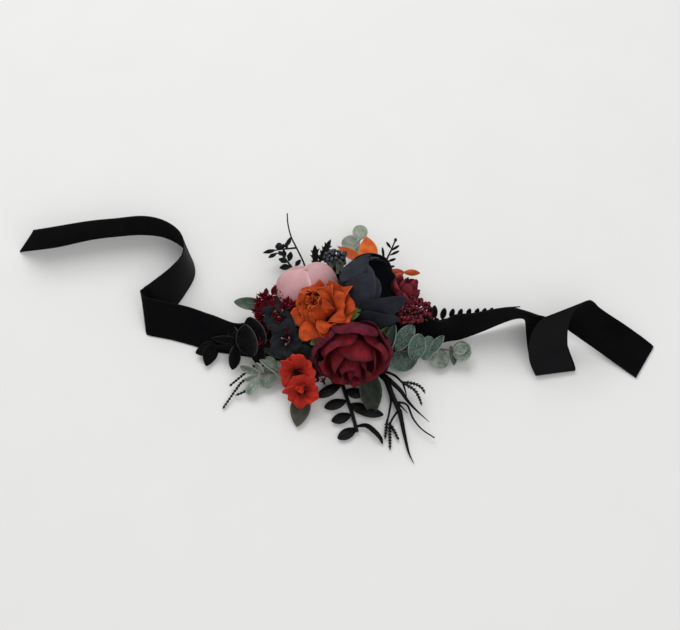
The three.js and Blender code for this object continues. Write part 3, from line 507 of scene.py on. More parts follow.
def widening(t, neck, wide_at):
    """Share of its full width that a petal has at t along it, from the neck at its base on."""
    return neck + (1 - neck) * np.sin(np.clip(t / wide_at, 0, 1) * math.pi / 2)


def crumples(u, t, grain, seed):
    """Noise at each point of a petal."""
    across, along = CRUMPLE_SCALES
    return np.array([
        [noise.noise(Vector((a * across * grain, b * along * grain, seed))) for a, b in zip(u[0], row)]
        for row in t
    ])


def petal(shape, head, line, turn, span=0.6, hug=None, wrap=1.0, rounding=0.25, point=2.6,
          dent=0.0, ruffle=0.0, waves=2.0, lap=0.0, roll=0.0, crumple=0.0, grain=1.0, neck=0.35,
          twist=0.0, slots=(0, 0)):
    """Petal whose middle follows a line of radius and height shares out from the head's axis.

    Its half width is span times the head's radius, or else hug degrees round the axis. Wrap is how
    far the tip still bends round the axis, and twist turns the tip on by that many degrees.
    """
    path = smooth_line(line, 8)
    steps = distances(path)
    steps /= steps[-1]
    v = np.linspace(0, 1, PETAL_ROWS)[:, None]
    u = np.linspace(-1, 1, PETAL_COLUMNS)[None, :]
    reach = 1 - rounding * np.abs(u) ** point - dent * np.exp(-((u / DENT_WIDTH) ** 2))
    t = v * reach
    radius = np.interp(t, steps, path[:, 0]) * head.radius
    height = np.interp(t, steps, path[:, 1]) * head.depth
    rise = np.interp(t, steps, np.gradient(path[:, 1])) * head.depth
    run = np.interp(t, steps, np.gradient(path[:, 0])) * head.radius
    slope = np.hypot(rise, run) + 1e-9
    if hug:
        angle = u * math.radians(hug) * widening(t, neck, HUG_WIDE_AT)
        bend = 1 / np.maximum(radius, 0.3)
    else:
        half = span * head.radius * widening(t, neck, FLAT_WIDE_AT)
        bend = np.maximum(mix(1, wrap, t) / np.maximum(radius, head.radius * 0.12), 1e-4)
        angle = u * half * bend
    out = radius - (1 - np.cos(angle)) / bend
    side = np.sin(angle) / bend
    seed = draws.uniform(0, 100)
    push = ruffle * t**3 * np.sin(waves * math.pi * u + seed) + lap * u * t + roll * np.abs(u) ** 4 * t
    push = (push + crumple * crumples(u, t, grain, seed)) * head.radius
    out = out + push * rise / slope
    height = height - push * run / slope - head.depth / 2
    turned = turn + math.radians(twist) * t**4
    cos_turn, sin_turn = np.cos(turned), np.sin(turned)
    local = np.stack([out * cos_turn - side * sin_turn, out * sin_turn + side * cos_turn, height], axis=2)
    sheet(shape, head.world(local), PETAL_THICKNESS, draws.uniform(0, 1), slots)


def petals(shape, head, line, turns, **form):
    """A petal at each turn in degrees, seen from above and from the head's own X axis."""
    for degrees in turns:
        size = 1 + draws.uniform(-0.04, 0.04)
        varied = [(r * mix(1, size, r), z * mix(1, size, 0.5)) for r, z in line]
        petal(shape, head, varied, math.radians(degrees), **form)


def even_turns(count, start, jitter=0.0):
    return [start + 360 * (k + draws.uniform(-jitter, jitter)) / count for k in range(count)]


def petal_layer(shape, name, slot, *materials):
    shape.piece(name, [f"{name}_petals"], slot, *materials)


def calyx_piece(name, head, sepal_turns, sepal_length, material, lift=0.16, loose=()):
    """Green cup and sepals under a head, and its wrapped wire. Loose sepals stand out from the posy."""
    shape = Shape()
    foot = head.centre - head.axis * (head.depth / 2 + CALYX_DROP)
    below = foot - head.axis * HEAD_STEM_RADIUS * 2
    root = (root_below(foot) + foot) / 2
    root[2] = ROOT_LEVEL
    tube(shape, smooth_line([foot, below, root], 5), HEAD_STEM_RADIUS, shade=0.4, sides=12)
    bead(shape, foot, head.radius * 0.2, head.axis, stretch=0.7, sides=14, levels=8)
    for degrees in sepal_turns:
        way = head.outward(math.radians(degrees))
        start = foot + way * head.radius * 0.14
        tip = foot + way * head.radius * sepal_length + head.axis * head.depth * lift
        leaf(shape, start, tip, head.radius * 0.36, head.axis, fullness=0.8, skew=0.75, cup=0.25,
             arch=-0.08, teeth=SEPAL_TEETH)
    leaves(shape, loose, facing=(0, -0.4, 0.9), fullness=0.7, cup=0.25, teeth=SEPAL_TEETH)
    shape.piece(f"{name}_calyx_green", [f"{name}_calyx"], "sepal_green", material)


# Middle lines of petals, as shares of the head's radius and depth
ROSE_CORE = [(0.03, 0.3), (0.13, 0.42), (0.2, 0.7), (0.17, 0.9), (0.12, 1.0)]
ROSE_HEART = [(0.05, 0.1), (0.2, 0.3), (0.34, 0.6), (0.33, 0.86), (0.38, 0.96), (0.44, 0.93)]
ROSE_INNER = [(0.05, 0.05), (0.34, 0.15), (0.58, 0.4), (0.6, 0.62), (0.55, 0.78), (0.5, 0.84)]
ROSE_MIDDLE = [(0.06, 0.03), (0.45, 0.08), (0.76, 0.26), (0.83, 0.45), (0.83, 0.6), (0.9, 0.67),
               (0.98, 0.62), (0.98, 0.52)]
ROSE_OUTER = [(0.08, 0.0), (0.5, 0.03), (0.84, 0.14), (0.98, 0.3), (0.98, 0.44), (1.05, 0.5),
              (1.12, 0.44), (1.1, 0.34)]
ROSE_SKIRT = [(0.08, 0.0), (0.5, 0.02), (0.88, 0.1), (1.05, 0.24), (1.08, 0.4), (1.15, 0.5), (1.21, 0.47)]
PAPER_OUTER = [(0.08, 0.0), (0.34, 0.38), (0.54, 0.64), (0.76, 0.77), (0.94, 0.83),
               (0.98, 0.78), (0.95, 0.72)]
PAPER_MIDDLE = [(0.06, 0.04), (0.28, 0.45), (0.4, 0.75), (0.54, 0.92), (0.69, 1.0),
                (0.73, 0.95), (0.7, 0.89)]
PAPER_CUP = [(0.05, 0.1), (0.36, 0.35), (0.58, 0.62), (0.5, 0.88), (0.34, 1.05), (0.29, 1.12), (0.33, 1.15)]
PAPER_CORE = [(0.04, 0.3), (0.12, 0.6), (0.15, 0.9), (0.19, 1.0), (0.16, 1.04)]
PEONY_HOOD = [(0.08, 0.0), (0.62, 0.08), (0.96, 0.4), (0.96, 0.7), (1.0, 0.86), (1.07, 0.84),
              (1.1, 0.6), (1.07, 0.24)]
PEONY_OUTER = [(0.08, 0.0), (0.62, 0.06), (0.96, 0.34), (1.0, 0.62), (0.92, 0.86), (0.86, 0.96)]
PEONY_MIDDLE = [(0.06, 0.02), (0.5, 0.08), (0.84, 0.4), (0.87, 0.7), (0.74, 0.95), (0.7, 1.02)]
PEONY_FRONT = [(0.08, 0.0), (0.62, 0.06), (0.98, 0.34), (1.04, 0.66), (1.02, 0.86),
               (0.97, 0.98), (0.9, 1.06)]
PEONY_LIP = [(0.06, 0.02), (0.5, 0.08), (0.9, 0.4), (0.96, 0.7), (0.93, 0.95), (0.87, 1.25), (0.92, 1.5)]
PEONY_INNER = [(0.05, 0.03), (0.25, 0.15), (0.42, 0.45), (0.36, 0.7)]
BUD_OUTER = [(0.08, 0.0), (0.66, 0.08), (0.98, 0.38), (0.99, 0.64), (0.8, 0.9), (0.44, 1.0), (0.02, 0.95)]
BUD_INNER = [(0.05, 0.03), (0.46, 0.1), (0.86, 0.4), (0.84, 0.62), (0.6, 0.8), (0.3, 0.86), (0.01, 0.87)]
BLOSSOM_LINE = [(0.1, 0.0), (0.18, 0.3), (0.42, 0.7), (0.74, 0.95), (0.96, 0.94), (1.04, 0.8)]


def burgundy_rose(finish, outer_finish, green):
    head = Head(22, 34, (0.08, -0.97, 0.2), (120, -285, 360))
    calyx_piece("burgundy_rose", head, even_turns(5, 22), 0.8, green)
    outer = Shape()
    petals(outer, head, ROSE_OUTER, (86, 14, 158, 212, 275, 335), span=0.72, wrap=0.85,
           rounding=0.3, point=2.2, ruffle=0.03, lap=0.07, roll=0.05, crumple=0.05)
    petals(outer, head, ROSE_SKIRT, (310, 236), span=0.7, wrap=0.8, rounding=0.25, point=2.4,
           ruffle=0.05, lap=0.06, roll=0.04, crumple=0.08)
    petal_layer(outer, "burgundy_rose_outer", "burgundy_petal", outer_finish)
    middle = Shape()
    petals(middle, head, ROSE_MIDDLE, (130, 34, 196, 258, 322), span=0.7, wrap=0.95,
           rounding=0.36, point=2.0, ruffle=0.02, lap=0.06, roll=0.04, crumple=0.04)
    petal_layer(middle, "burgundy_rose_middle", "burgundy_petal", finish)
    inner = Shape()
    petals(inner, head, ROSE_INNER, (80, 168, 345, 255), span=0.62, rounding=0.22, point=2.0,
           lap=0.05, crumple=0.02)
    petals(inner, head, ROSE_HEART, (130, 20, 290, 210), span=0.36, wrap=0.9, rounding=0.25,
           point=1.8, lap=0.06, roll=0.05, crumple=0.05)
    rose_core(inner, head)
    petal_layer(inner, "burgundy_rose_inner", "burgundy_petal", finish)


def rose_core(shape, head):
    petals(shape, head, ROSE_CORE, even_turns(3, 50), span=0.28, wrap=1.1, rounding=0.15, lap=0.06)


# Petals of the paper rose, with their turn, length, half width and how their sides roll
PAPER_OUTER_PETALS = [
    (158, 1, 0.38, 0.06), (117, 1, 0.42, 0.04), (200, 1, 0.46, -0.05), (54, 1, 0.46, -0.08),
    (247, 1, 0.5, 0.06), (15, 1, 0.42, 0.08), (288, 0.9, 0.36, -0.04), (331, 1, 0.42, 0.07),
]
PAPER_MIDDLE_PETALS = [
    (170, 1, 0.34, 0.05), (86, 1, 0.36, -0.05), (36, 1, 0.36, 0.08), (340, 1, 0.38, 0.06),
    (286, 1, 0.34, -0.05),
]


def orange_rose(finish, green):
    head = Head(19, 24, (-0.3, -0.16, 0.94), (-80, 60, 450))
    calyx_piece("orange_rose", head, (130, 200), 1.0, green, loose=[
        ((74, -11, 470), (182, 73, 530), 6), ((36, 257, 520), (64, 306, 540), 3.4),
        ((-220, -202, 420), (-147, -159, 440), 4),
    ])
    paper = {"rounding": 0.12, "point": 4, "dent": 0.03, "waves": 1.3, "grain": 0.6, "ruffle": 0.04}
    layers = (("outer", PAPER_OUTER, PAPER_OUTER_PETALS), ("middle", PAPER_MIDDLE, PAPER_MIDDLE_PETALS))
    for layer, line, shingles in layers:
        shape = Shape()
        for turn, size, span, roll in shingles:
            sized = [(radius * size, height) for radius, height in line]
            petals(shape, head, sized, (turn,), span=span, wrap=0.35, lap=0.12, roll=roll,
                   crumple=0.1, **paper)
        petal_layer(shape, f"orange_rose_{layer}", "orange_petal", finish)
    inner = Shape()
    core = head.moved(-0.3, 0.24)
    folded = {**paper, "ruffle": 0.09, "waves": 1.8, "grain": 1.2}
    petals(inner, core, PAPER_CUP, (240, 306, 12, 95, 168), span=0.37, wrap=0.7, lap=0.09,
           roll=0.1, crumple=0.12, **folded)
    petals(inner, core, PAPER_CORE, even_turns(7, 0, 0.3), span=0.16, wrap=0.5, lap=0.07,
           crumple=0.16, **folded)
    petal_layer(inner, "orange_rose_inner", "orange_petal", finish)


def black_peony(finish, shadow, green):
    head = Head(22.5, 29, (0.89, 0.05, 0.43), (250, 300, 375))
    loose = [((330, 40, 150), (470, 100, 110), 4.5)]
    calyx_piece("black_peony", head, even_turns(5, 43), 0.8, green, lift=0.04, loose=loose)
    # One face of each petal takes the painted-shade copy of the charcoal; the hood shows the lit charcoal on
    # both faces.
    cloth = {"rounding": 0.2, "point": 2.4, "lap": 0.08, "crumple": 0.03, "slots": (1, 0)}
    hood = {**cloth, "slots": (0, 0), "rounding": 0.55, "point": 2.7, "lap": 0.03}
    lip = {**cloth, "rounding": 0.6, "point": 1.5, "lap": 0.0}
    front = {**cloth, "rounding": 0.26, "point": 2.6, "lap": -0.05, "ruffle": 0.02}
    outer = Shape()
    petals(outer, head, PEONY_HOOD, (152,), hug=27, twist=30, **hood)
    petals(outer, head, PEONY_OUTER, (196,), hug=42, **{**cloth, "lap": -0.09})
    petals(outer, head, PEONY_FRONT, (286,), hug=48, **front)
    petals(outer, head, PEONY_OUTER, (14, 72, 128), hug=42, **cloth)
    petal_layer(outer, "black_peony_outer", "charcoal_petal", finish, shadow)
    middle = Shape()
    petals(middle, head, PEONY_MIDDLE, (206, 110, 40, 316), hug=38, **cloth)
    petals(middle, head, PEONY_LIP, (254,), hug=38, twist=-14, **lip)
    petal_layer(middle, "black_peony_middle", "charcoal_petal", finish, shadow)
    inner = Shape()
    petals(inner, head, PEONY_INNER, even_turns(3, 70), hug=60, **cloth)
    heart = head.world(np.array([0, 0, 1.5 - head.depth / 2]))
    bead(inner, heart, 6, head.axis, stretch=0.6, sides=16, lumps=0.1)
    petal_layer(inner, "black_peony_inner", "charcoal_petal", finish, shadow)


def pink_bud(finish, green):
    head = Head(19.5, 29, (-0.1, 0.73, 0.68), (-260, 370, 300))
    calyx_piece("pink_bud", head, even_turns(5, 14), 0.7, green)
    outer = Shape()
    for turn, hug, size, lap in ((94, 60, 0.94, 0.12), (344, 84, 1.01, 0.12), (196, 88, 0.96, 0.16)):
        line = [(radius, height * size) for radius, height in BUD_OUTER]
        petal(outer, head, line, math.radians(turn), hug=hug, rounding=0.0, lap=lap, roll=-0.2, neck=0.8)
    petal_layer(outer, "pink_bud_outer", "pink_petal", finish)
    inner = Shape()
    petals(inner, head, BUD_INNER, even_turns(3, 0), hug=70, rounding=0.0)
    petal_layer(inner, "pink_bud_inner", "pink_petal", finish)


def small_rose(finish, green):
    head = Head(10, 15.5, (0.6, 0.35, 0.65), (590, 385, 280))
    calyx_piece("small_rose", head, even_turns(5, 0), 0.7, green)
    outer = Shape()
    petals(outer, head, ROSE_OUTER, (200, 250, 130, 310, 40), span=0.68, wrap=0.8, rounding=0.28,
           point=1.7, ruffle=0.04, lap=0.07, roll=0.05, crumple=0.06)
    petal_layer(outer, "small_rose_outer", "burgundy_petal", finish)
    inner = Shape()
    petals(inner, head, ROSE_INNER, (150, 230, 310, 60), span=0.5, rounding=0.24, point=1.8, lap=0.08,
           crumple=0.04)
    rose_core(inner, head)
    petal_layer(inner, "small_rose_inner", "burgundy_petal", finish)


BLOSSOM_RADIUS = 11
STAMENS = 3
# Blossoms with their size, axis, place and turn
BLOSSOMS = [
    ("red_blossom_rear", 0.97, (-0.1, -0.5, 0.85), (-330, -365, 235), 20),
    ("red_blossom_front", 0.9, (0, -0.65, 0.75), (-290, -490, 185), 60),
    ("black_blossom_rear", 0.95, (-0.2, 0.1, 0.95), (-360, 200, 330), 0),
    ("black_blossom_left", 1, (-0.35, 0, 0.9), (-460, 110, 310), 35),
    ("black_blossom_front", 0.95, (-0.3, -0.4, 0.85), (-405, -100, 290), 10),
]


def blossom(name, size, axis, spot, turn, finish, anther, slot):
    """Small open blossom with five ruffled petals on a stalk, and its stamens."""
    radius = BLOSSOM_RADIUS * size
    head = Head(radius, radius * 0.8, axis, spot)
    foot = head.centre - head.axis * head.depth / 2
    shape = Shape()
    tube(shape, smooth_line([foot, foot - head.axis * head.depth / 2, root_below(foot)], 5), 1.2)
    bead(shape, foot, 1.8, head.axis, sides=12)
    petals(shape, head, BLOSSOM_LINE, even_turns(5, turn, 0.08), span=0.58, wrap=0.3, rounding=0.18,
           point=3.2, dent=0.08, ruffle=0.1, waves=1.6, lap=0.12, roll=0.05, crumple=0.16, grain=1.2)
    shape.piece(f"{name}_petals", [name], slot, finish)
    threads = Shape()
    base = foot + head.axis * 1.2
    for k in range(STAMENS):
        way = head.outward(2 * math.pi * k / STAMENS + 0.5)
        tip = base + head.axis * head.depth * 0.9 + way * radius * 0.24
        tube(threads, smooth_line([base, (base + tip) / 2 + way * 0.6, tip], 4), 0.35, 0.3, stem=0)
        bead(threads, tip, 0.6, way + head.axis, stretch=1.7, sides=8, levels=6, shade=0.9)
    bead(threads, base, 1.0, head.axis, sides=8)
    threads.piece(f"{name}_threads", [f"{name}_stamens"], "anther", anther)


# Foliage


def finished_spray(shape, node, slot, *materials):
    shape.piece(f"{node}_leaves", [node], slot, *materials)


def strap(shape, line, width, thickness=LEAF_THICKNESS):
    """Narrow curved blade along a line of places."""
    line = smooth_line(place(line))
    tangents = np.gradient(line, axis=0)
    side = np.cross(tangents, UP)
    side /= np.linalg.norm(side, axis=1, keepdims=True)
    along = np.linspace(0, 1, len(line))[:, None]
    half = width / 2 * np.maximum(np.sin(math.pi * along**0.8), 0.05) ** 0.6
    across = np.linspace(-1, 1, 7)
    middle = line[:, None] + side[:, None] * (half * across)[..., None]
    middle[..., 2] -= half * 0.35 * across**2
    sheet(shape, middle, thickness, draws.uniform(0, 1))


def front_fern(material):
    shape = stems(FERN_WIRE, [(20, -280, 80), (50, -430, 50), (110, -620, 40), (155, -800, 35)])
    leaves(shape, [
        ((30, -380, 55), (-170, -500, 50)), ((70, -530, 45), (-110, -590, 45)),
        ((110, -650, 40), (-50, -710, 40)), ((150, -770, 35), (0, -860, 35)),
        ((60, -440, 50), (210, -480, 45)), ((120, -600, 40), (370, -650, 35)),
        ((100, -560, 45), (250, -620, 35)),
    ], 7, fullness=0.65, skew=1.1, cup=-0.35, arch=0.06)
    strap(shape, [(147, -754, 35), (230, -754, 60), (299, -818, 80), (344, -864, 50), (360, -901, 20)], 3)
    for line in (
        [(-98, -254, 90), (-163, -314, 100), (-220, -390, 90)],
        [(-98, -241, 100), (-163, -283, 130), (-220, -310, 130)],
    ):
        toothed_frond(shape, line, radius=0.6, reach=1.2, start=0.2, spacing=1.6)
    finished_spray(shape, "black_fern_front", "black_leaf", material)


def toothed_frond(shape, line, radius, reach, start, spacing=1.9):
    """Round tapering stem with small forward saw teeth on both sides, from that share of it on."""
    line = smooth_line(place(line))
    tube(shape, line, radius, 0.35, sides=6)
    steps = distances(line)
    for distance in np.arange(steps[-1] * start, steps[-1] - spacing * 0.8, spacing):
        centre, ahead = (np.array([np.interp(spot, steps, line[:, k]) for k in range(3)])
                         for spot in (distance, distance + 0.5))
        way = unit(ahead - centre + 1e-9)
        side = unit(np.cross(way, UP))
        size = reach * (1 - 0.5 * distance / steps[-1])
        for sign in (-1, 1):
            tip = centre + side * sign * size + way * draws.uniform(0.9, 1.3)
            leaf(shape, centre - way * 0.5, tip, 0.9, fullness=0.9, skew=0.6, thickness=0.5, rows=6,
                 columns=3, shade=0.5)


def right_needles(material):
    shape = stems(NEEDLE_WIRE, [(380, -340, 80), (440, -480, 70), (500, -630, 60)])
    spikes = [
        (1.55, 0.15, [(500, -620, 62), (540, -840, 40), (570, -980, 30), (610, -1070, 20)]),
        (1.8, 0.15, [(360, -300, 80), (500, -450, 100), (570, -560, 100), (650, -650, 90),
                     (740, -730, 70)]),
        (0.8, 0.4, [(470, -550, 67), (560, -580, 80), (610, -700, 70), (680, -790, 60), (780, -860, 50)]),
        (0.8, 0.15, [(490, -560, 70), (570, -650, 60)]),
        (0.9, 0.6, [(380, -340, 80), (430, -510, 70), (420, -620, 50), (400, -710, 45)]),
        (0.8, 0.6, [(500, -610, 60), (450, -680, 50), (420, -740, 40)]),
        (1.0, 0.7, [(350, -270, 80), (410, -300, 100), (470, -340, 120), (530, -410, 130)]),
        (0.7, 0.2, [(530, -410, 130), (550, -480, 120), (560, -530, 100)]),
    ]
    for radius, tip_radius, line in spikes:
        tube(shape, smooth_line(place(line)), radius, tip_radius)
    for line in (
        [(520, -400, 130), (620, -420, 140), (680, -450, 130), (710, -500, 120)],
        [(530, -410, 130), (620, -470, 130), (660, -540, 120), (680, -600, 110)],
        [(400, -700, 45), (390, -780, 30), (380, -860, 30)],
        [(420, -720, 40), (420, -830, 30), (420, -950, 20)],
        [(420, -730, 40), (460, -800, 30), (490, -870, 30)],
    ):
        toothed_frond(shape, line, radius=0.72, reach=1.5, start=0.2)
    finished_spray(shape, "black_needles_right", "black_leaf", material)


def left_needles(material):
    shape = stems(SPRAY_WIRE, [(-450, -120, 100), (-530, -160, 110), (-580, -180, 110)])
    for line in (
        [(-570, -170, 110), (-650, -220, 120), (-750, -290, 90), (-890, -400, 50)],
        [(-570, -180, 110), (-680, -310, 90), (-780, -370, 80), (-840, -440, 50), (-940, -590, 20)],
        [(-680, -310, 90), (-730, -410, 70), (-760, -450, 60), (-840, -480, 40)],
    ):
        toothed_frond(shape, line, radius=0.62, reach=1.3, start=0.35, spacing=2.0)
    finished_spray(shape, "black_needles_left", "black_leaf", material)


def left_eucalyptus(material):
    shape = stems(LEAF_WIRE, [(-400, -280, 90), (-570, -310, 110), (-670, -330, 120)])
    leaves(shape, [
        ((-655, -314, 120), (-799, -265, 150), 5.4, (0.1, -0.8, 0.6), dict(cup=0.3, shade=0.1)),
        ((-450, -346, 110), (-642, -220, 170), 7, (0.6, 0.1, 0.6),
         dict(fullness=0.6, cup=0.0, fold=0.5, shade=0.0)),
        ((-594, -273, 120), (-577, -422, 60), 11.5, (0.2, -0.3, 0.9), dict(cup=0.25, shade=0.0)),
        ((-646, -364, 110), (-742, -476, 50), 7, (-0.2, -0.4, 0.9), dict(skew=1.3, shade=1.0)),
        ((-646, -332, 120), (-761, -368, 90), 3.4, (0, -0.6, 0.8), dict(cup=0.3, shade=0.3)),
        ((-614, -314, 120), (-670, -247, 170), 5, (-0.3, -0.8, 0.4), dict(shade=0.3)),
        ((-500, -255, 130), (-590, -188, 160), 5, (0.3, -0.7, 0.6), dict(fullness=0.6, shade=0.1)),
    ], fullness=0.5, cup=0.2)
    finished_spray(shape, "eucalyptus_left", "eucalyptus_leaf", material)


def right_eucalyptus(material, frosted):
    shape = stems(FINE_LEAF_WIRE, [(350, -60, 120), (600, -130, 140), (800, -100, 130), (970, -110, 120)])
    leaves(shape, [
        ((420, -140, 140), (470, 80, 220), 8.5, (-0.7, -0.3, 0.6), dict(fullness=0.55, cup=0.3)),
        ((480, -130, 160), (620, 60, 250), 10.5, (-0.4, -0.5, 0.8), dict(fullness=0.55, skew=1.15)),
        ((620, -200, 130), (670, -20, 250), 12, (0.35, -0.5, 0.8)),
        ((710, -190, 110), (760, -10, 190), 10.5, (0.1, -0.4, 0.9), dict(cup=0.2)),
        ((760, -150, 130), (870, -20, 220), 6.5, (-0.5, -0.4, 0.7), dict(fullness=0.65, cup=0.35)),
        ((500, -90, 110), (590, -250, 45), 19, (0.1, -0.2, 1), dict(cup=0.15, shade=0.1)),
        ((780, -110, 110), (900, -220, 50), 12, (0, -0.2, 1), dict(cup=0.15, slots=SECOND_FINISH)),
        ((930, -70, 130), (960, -220, 70), 6.5, (0.5, -0.4, 0.6), dict(fullness=0.7, cup=0.3, shade=0.0)),
        ((950, -120, 110), (1100, -110, 125), 13, (0.1, -0.3, 0.9),
         dict(fullness=0.45, cup=0.3, slots=SECOND_FINISH)),
        ((960, -120, 120), (1060, -80, 150), 7, (0.1, -0.5, 0.8),
         dict(fullness=0.45, cup=0.4, slots=SECOND_FINISH)),
    ], fullness=0.5, cup=0.25)
    finished_spray(shape, "eucalyptus_right", "eucalyptus_leaf", material, frosted)


def velvet_leaves(material):
    shape = stems(SPRAY_WIRE, [(-580, -120, 220), (-810, -90, 180), (-1020, -70, 120)])
    leaves(shape, [
        ((-1030, -60, 120), (-1090, -210, 40), 9.5, (0.3, -0.4, 0.9), dict(fullness=0.7, cup=-0.3)),
        ((-1010, -60, 120), (-1180, -100, 60), 9, (-0.5, -0.4, 0.8),
         dict(fullness=0.65, skew=0.8, cup=-0.3)),
        ((-850, -80, 160), (-870, -250, 50), 8, (0.4, -0.5, 0.7), dict(fullness=0.6, skew=1.0, fold=0.5)),
        ((-830, -40, 170), (-1050, -10, 150), 5, (0, -0.6, 0.8), dict(fold=0.4)),
        ((-830, -60, 160), (-990, -90, 120), 4, (0, -0.4, 0.9)),
        ((-830, -30, 180), (-930, 30, 170), 3.4, (0, -0.5, 0.9)),
    ], fullness=0.8, skew=0.7)
    leaves(shape, [
        ((-820, -70, 160), (-860, 40, 270), 10, (-0.6, -0.6, 0.5)),
        ((-700, -190, 180), (-755, 15, 345), 15.5, (-0.45, -0.7, 0.55), dict(cup=0.35)),
        ((-610, -110, 230), (-730, 70, 370), 13.5, (-0.4, -0.6, 0.7)),
        ((-620, -120, 190), (-680, -210, 100), 9, (-0.2, -0.5, 0.8), dict(fullness=0.6, cup=0.2)),
    ], fullness=0.5, cup=0.3)
    finished_spray(shape, "velvet_leaf_spray", "black_leaf", material)


def single_leaves(deep_green, dark_green, olive):
    left = stems(LEAF_WIRE, [(-500, 270, 130), (-640, 300, 170)])
    leaves(left, [((-600, 290, 165), (-870, 320, 175))], 8, (0, -0.5, 0.9), cup=0.15)
    finished_spray(left, "green_leaf_left", "deep_green_leaf", deep_green)
    dark = stems(LEAF_WIRE, [(-330, -170, 120), (-400, -170, 140)])
    leaves(dark, [
        ((-400, -180, 160), (-610, -120, 180), 7, (0.1, -0.8, 0.5), dict(cup=0.3)),
        ((-385, -111, 190), (-196, -175, 200), 9, (0.1, -0.7, 0.7), dict(cup=0.35, shade=0.0)),
    ])
    finished_spray(dark, "dark_leaf_left", "deep_green_leaf", dark_green)
    front = stems(LEAF_WIRE, [(270, -300, 70), (270, -400, 70)])
    leaves(front, [((250, -240, 100), (285, -660, 35))], 14, fullness=0.85, skew=1.05, cup=0.12,
           fold=0.15, shade=0.8)
    finished_spray(front, "green_leaf_front", "deep_green_leaf", dark_green)
    low = stems(LEAF_WIRE, [(-240, -340, 70), (-290, -470, 60)])
    leaves(low, [((-280, -450, 60), (-330, -755, 35))], 12.5, fullness=0.72, skew=0.95, cup=0.1,
           fold=0.1)
    finished_spray(low, "olive_leaf_front", "olive_leaf", olive)


def right_fern(material):
    shape = stems(TWIG_WIRE, [(600, 80, 120), (868, 114, 240), (1008, 128, 255),
                              (1149, 147, 265), (1360, 200, 280), (1500, 190, 330)])
    leaflets = [
        ((803, 135, 235), (794, 193, 345), 3.6),
        ((861, 118, 250), (875, 160, 360), 3.9),
        ((932, 129, 253), (946, 156, 356), 3.4),
        ((1000, 137, 256), (1014, 157, 352), 3.2),
        ((1071, 147, 259), (1084, 161, 348), 3.1),
        ((1139, 158, 262), (1152, 165, 344), 2.9),
        ((1199, 166, 265), (1212, 169, 340), 2.7),
        ((1255, 174, 268), (1269, 175, 336), 2.5),
    ]
    leaves(shape, leaflets, facing=(0.1, -1, 0.4), fullness=0.5, cup=0.15)
    lower = [(base, (base[0] + 30, base[1] - 40, 200), width) for base, _, width in leaflets[:3]]
    leaves(shape, lower, facing=(0, -0.6, 1), fullness=0.5, cup=0.15)
    finished_spray(shape, "black_fern_right", "black_leaf", material)


def back_eucalyptus(sage, green):
    shape = stems(FINE_LEAF_WIRE, [(100, 500, 100), (130, 740, 160), (190, 920, 190)])
    rounded = {"fullness": 0.5, "cup": 0.15}
    leaves(shape, [
        ((187, 858, 180), (32, 885, 205), 11.5),
        ((221, 926, 190), (158, 1045, 205), 10),
        ((140, 760, 160), (270, 870, 180), 10, (0, -0.2, 1)),
    ], facing=(0, -0.3, 1), **rounded)
    stalk(shape, place((110, 550, 120)), place((40, 540, 270)))
    # This leaf takes the darker green finish and a low tone as painted shade, where it lies between the bud
    # and the peony.
    leaves(shape, [((26, 548, 270), (-54, 641, 310))], 10, (0, -0.6, 0.8), shade=0.2,
           slots=SECOND_FINISH, **rounded)
    finished_spray(shape, "eucalyptus_back", "sage_leaf", sage, green)


def orange_leaves(material):
    shape = stems(FINE_LEAF_WIRE, [(170, 500, 200), (200, 620, 260), (220, 680, 275)])
    stalk(shape, place((180, 560, 235)), place((179, 682, 270)))
    facing = (0, -0.3, 1)
    leaves(shape, [
        ((272, 619, 250), (242, 881, 300), 12, facing, dict(fullness=0.8, skew=0.95)),
        ((188, 674, 272), (-7, 795, 285), 6.5, facing, dict(fullness=0.95, skew=0.7)),
    ], fold=0.15)
    finished_spray(shape, "orange_leaves_back", "orange_leaf", material)


def rust_leaves(material):
    shape = stems(RUST_WIRE, [(420, 420, 100), (500, 530, 200), (555, 564, 250)])
    leaves(shape, [
        ((550, 569, 252), (410, 555, 260), 4),
        ((552, 556, 248), (424, 476, 235), 3.6),
        ((552, 562, 250), (689, 555, 250), 3.9),
    ], facing=(0, -0.5, 0.9), fullness=0.75, cup=-0.3, arch=0.1)
    finished_spray(shape, "rust_leaf_spray", "rust_leaf", material)


def spiky_leaf(shape, base, tip, width, pairs, facing=(0, -0.5, 0.9)):
    """Narrow leaf whose edges run out into long forward spikes."""
    base = place(base)
    tip = place(tip)
    way = unit(tip - base)
    side = unit(np.cross(way, facing))
    length = np.linalg.norm(tip - base)
    leaf(shape, base, tip, width * 0.6, facing=facing, fullness=0.7, fold=0.3)
    for k in range(pairs):
        start = base + way * length * (0.12 + 0.7 * k / pairs)
        reach = width / 2 * math.sin(math.pi * (0.3 + 0.5 * k / pairs))
        for sign in (-1, 1):
            end = start + side * sign * reach + way * draws.uniform(2.2, 3.4) + UP * draws.uniform(-0.4, 0.8)
            leaf(shape, start, end, 1.9, facing=facing, fullness=1.0, skew=0.55, rows=7, columns=5)


def holly_leaves(material):
    shape = stems(LEAF_WIRE, [(-120, 450, 120), (-160, 600, 200), (-165, 650, 230)])
    spiky_leaf(shape, (-190, 630, 235), (-195, 805, 290), 6.6, 3)
    spiky_leaf(shape, (-160, 660, 235), (-60, 855, 300), 6.6, 4)
    leaves(shape, [((-16, 400, 200), (1, 632, 300))], 8, (0, -0.5, 0.9), fold=0.3)
    finished_spray(shape, "spiky_leaves_back", "black_leaf", material)


